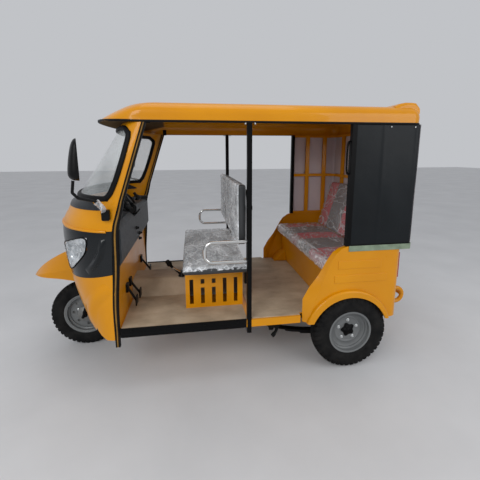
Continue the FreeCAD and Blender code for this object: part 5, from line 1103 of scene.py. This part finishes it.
def side_curtain(sign):
    """One hung sheet: flat at its fixings, with shallow folds between them and a soft turn at the rear.

    The distance out is a sine belly, random waves that fade at the foot and the head, and a ridge where
    each frame tube lies behind; the last strip curves in round the corner by a power of its place.
    """
    front, rear, foot = 1928, 2381, 914
    u = np.linspace(0, 1, 90)[:, None]
    v = np.linspace(0, 1, 110)[None, :]
    x = front + (rear - front) * u + 0 * v
    z = foot + (EAVES - foot) * v + 0 * u
    rise = np.sin(np.pi * v)
    belly = 5 * np.sin(np.pi * u) * rise + 3.2 * waves(u * 0.9, v * 0.6, 5, 10, 1, 4) * rise ** 0.5
    tubes = 2.6 * np.exp(-((u - 0.42) / 0.03) ** 2) * (0.4 + 0.6 * v)
    tubes = tubes + 3.0 * np.exp(-((u - 0.93) / 0.03) ** 2) * v
    turn = 9 * smooth(0.955, 1.0, u) ** 1.5
    y = sign * (HALF - 6.5 + np.maximum(belly + tubes, -1.0) - turn)
    p = at(x + 0 * turn, y, z)
    skin = Skin().grid(p if sign < 0 else p[::-1])
    thing = skin.build(f"curtain_{'left' if sign < 0 else 'right'}", [canvas, lining], "body",
                       ["side_curtains"] if sign < 0 else (), "curtain_cloth")
    canvas_wall(thing)


side_curtain(-1)
side_curtain(1)


def rear_curtain():
    """The rear sheet with its window left out: grid lines fall on the window's edges.

    The distance back is a sine belly plus random waves that fade at both sides.
    """
    half, foot, window_half, window_foot, window_head = 628, 918, 332, 1342, 1648
    y = np.concatenate([np.linspace(-half, -window_half, 24), np.linspace(-window_half, window_half, 50)[1:-1],
                        np.linspace(window_half, half, 24)])
    z = np.concatenate([np.linspace(foot, window_foot, 36), np.linspace(window_foot, window_head, 30)[1:-1],
                        np.linspace(window_head, EAVES, 8)])
    yy, zz = np.meshgrid(y, z, indexing="ij")
    wide, tall = 2 * half, EAVES - foot
    u, v = (yy + half) / wide, (zz - foot) / tall
    x = 2378 + np.sin(np.pi * u) * (1.5 * np.sin(np.pi * v) + 1.6 * waves(u, v, 8, low=1, high=4))
    mid_y, mid_z = (y[1:] + y[:-1])[:, None] / 2, (z[1:] + z[:-1])[None, :] / 2
    window = (np.abs(mid_y) < window_half) & (mid_z > window_foot) & (mid_z < window_head)
    skin = Skin().grid(at(x, yy, zz), keep=~window)
    thing = skin.build("curtain_rear", [canvas, lining], "body", ["rear_curtain"], "curtain_cloth")
    canvas_wall(thing)


rear_curtain()


# Grab handle beside the rear doorway
def grab_handle():
    """A bent tube shaped like a D on the near pillar: its height is a power of the sine of the angle and
    its reach a power of the cosine, which squares the loop's corners."""
    skin = Skin()
    a = np.linspace(-np.pi / 2, np.pi / 2, 60)
    z = 1506 + 104 * np.sign(np.sin(a)) * np.abs(np.sin(a)) ** 0.8
    x = 1900 - 20 * np.cos(a) ** 0.35
    skin.tube(at(x, -612.0, z), 0.0062, 12, up=(0, 1, 0))
    skin.build("grab_handle", black, slot="black_paint")


grab_handle()


# Stage, light and camera
def stage():
    """Pale floor, three soft lamps, a plain sky, and the camera fitted to the vehicle's wheels and edges."""
    f = Finish("pale_floor", (205, 205, 206), 0.6)
    f.tones(1.2, 4, (200, 200, 201), (210, 210, 211))
    span = np.linspace(-30, 30, 3)
    p = np.stack(np.meshgrid(span, span, [0.0], indexing="ij"), -1)[:, :, 0]
    mesh = bpy.data.meshes.new("floor")
    mesh.from_pydata(p.reshape(-1, 3).tolist(), [], Skin().grid(p).faces[0].tolist())
    mesh.materials.append(f.material)
    set_down("floor", mesh)
    world = bpy.data.worlds.new("studio")
    bpy.context.scene.world = world
    world.use_nodes = True
    world.node_tree.nodes["Background"].inputs[0].default_value = (0.86, 0.88, 0.92, 1)
    world.node_tree.nodes["Background"].inputs[1].default_value = 0.62
    for name, spot, turn, size, power in (
            ("key", (-2.6, -4.4, 3.4), (62, 0, -30), 2.6, 105),
            ("fill", (3.6, -4.0, 2.6), (70, 0, 42), 3.0, 60),
            ("top", (0.0, -0.4, 5.0), (4, 0, 0), 3.0, 35)):
        lamp = bpy.data.lights.new(name, "AREA")
        lamp.size, lamp.energy = size, power
        thing = set_down(name, lamp)
        thing.location = spot
        thing.rotation_euler = Euler(np.radians(turn))
    camera = bpy.data.cameras.new("camera")
    camera.lens, camera.sensor_width, camera.shift_y = 23.73, 36, -27 / 480
    eye = set_down("camera", camera)
    eye.location = at(881.4, -2572.5, 1531.7)
    eye.rotation_euler = Euler(np.radians((90 - 10.52, 0.19, -8.58)))
    bpy.context.scene.camera = eye
    bpy.context.scene.view_settings.view_transform = "Standard"


stage()
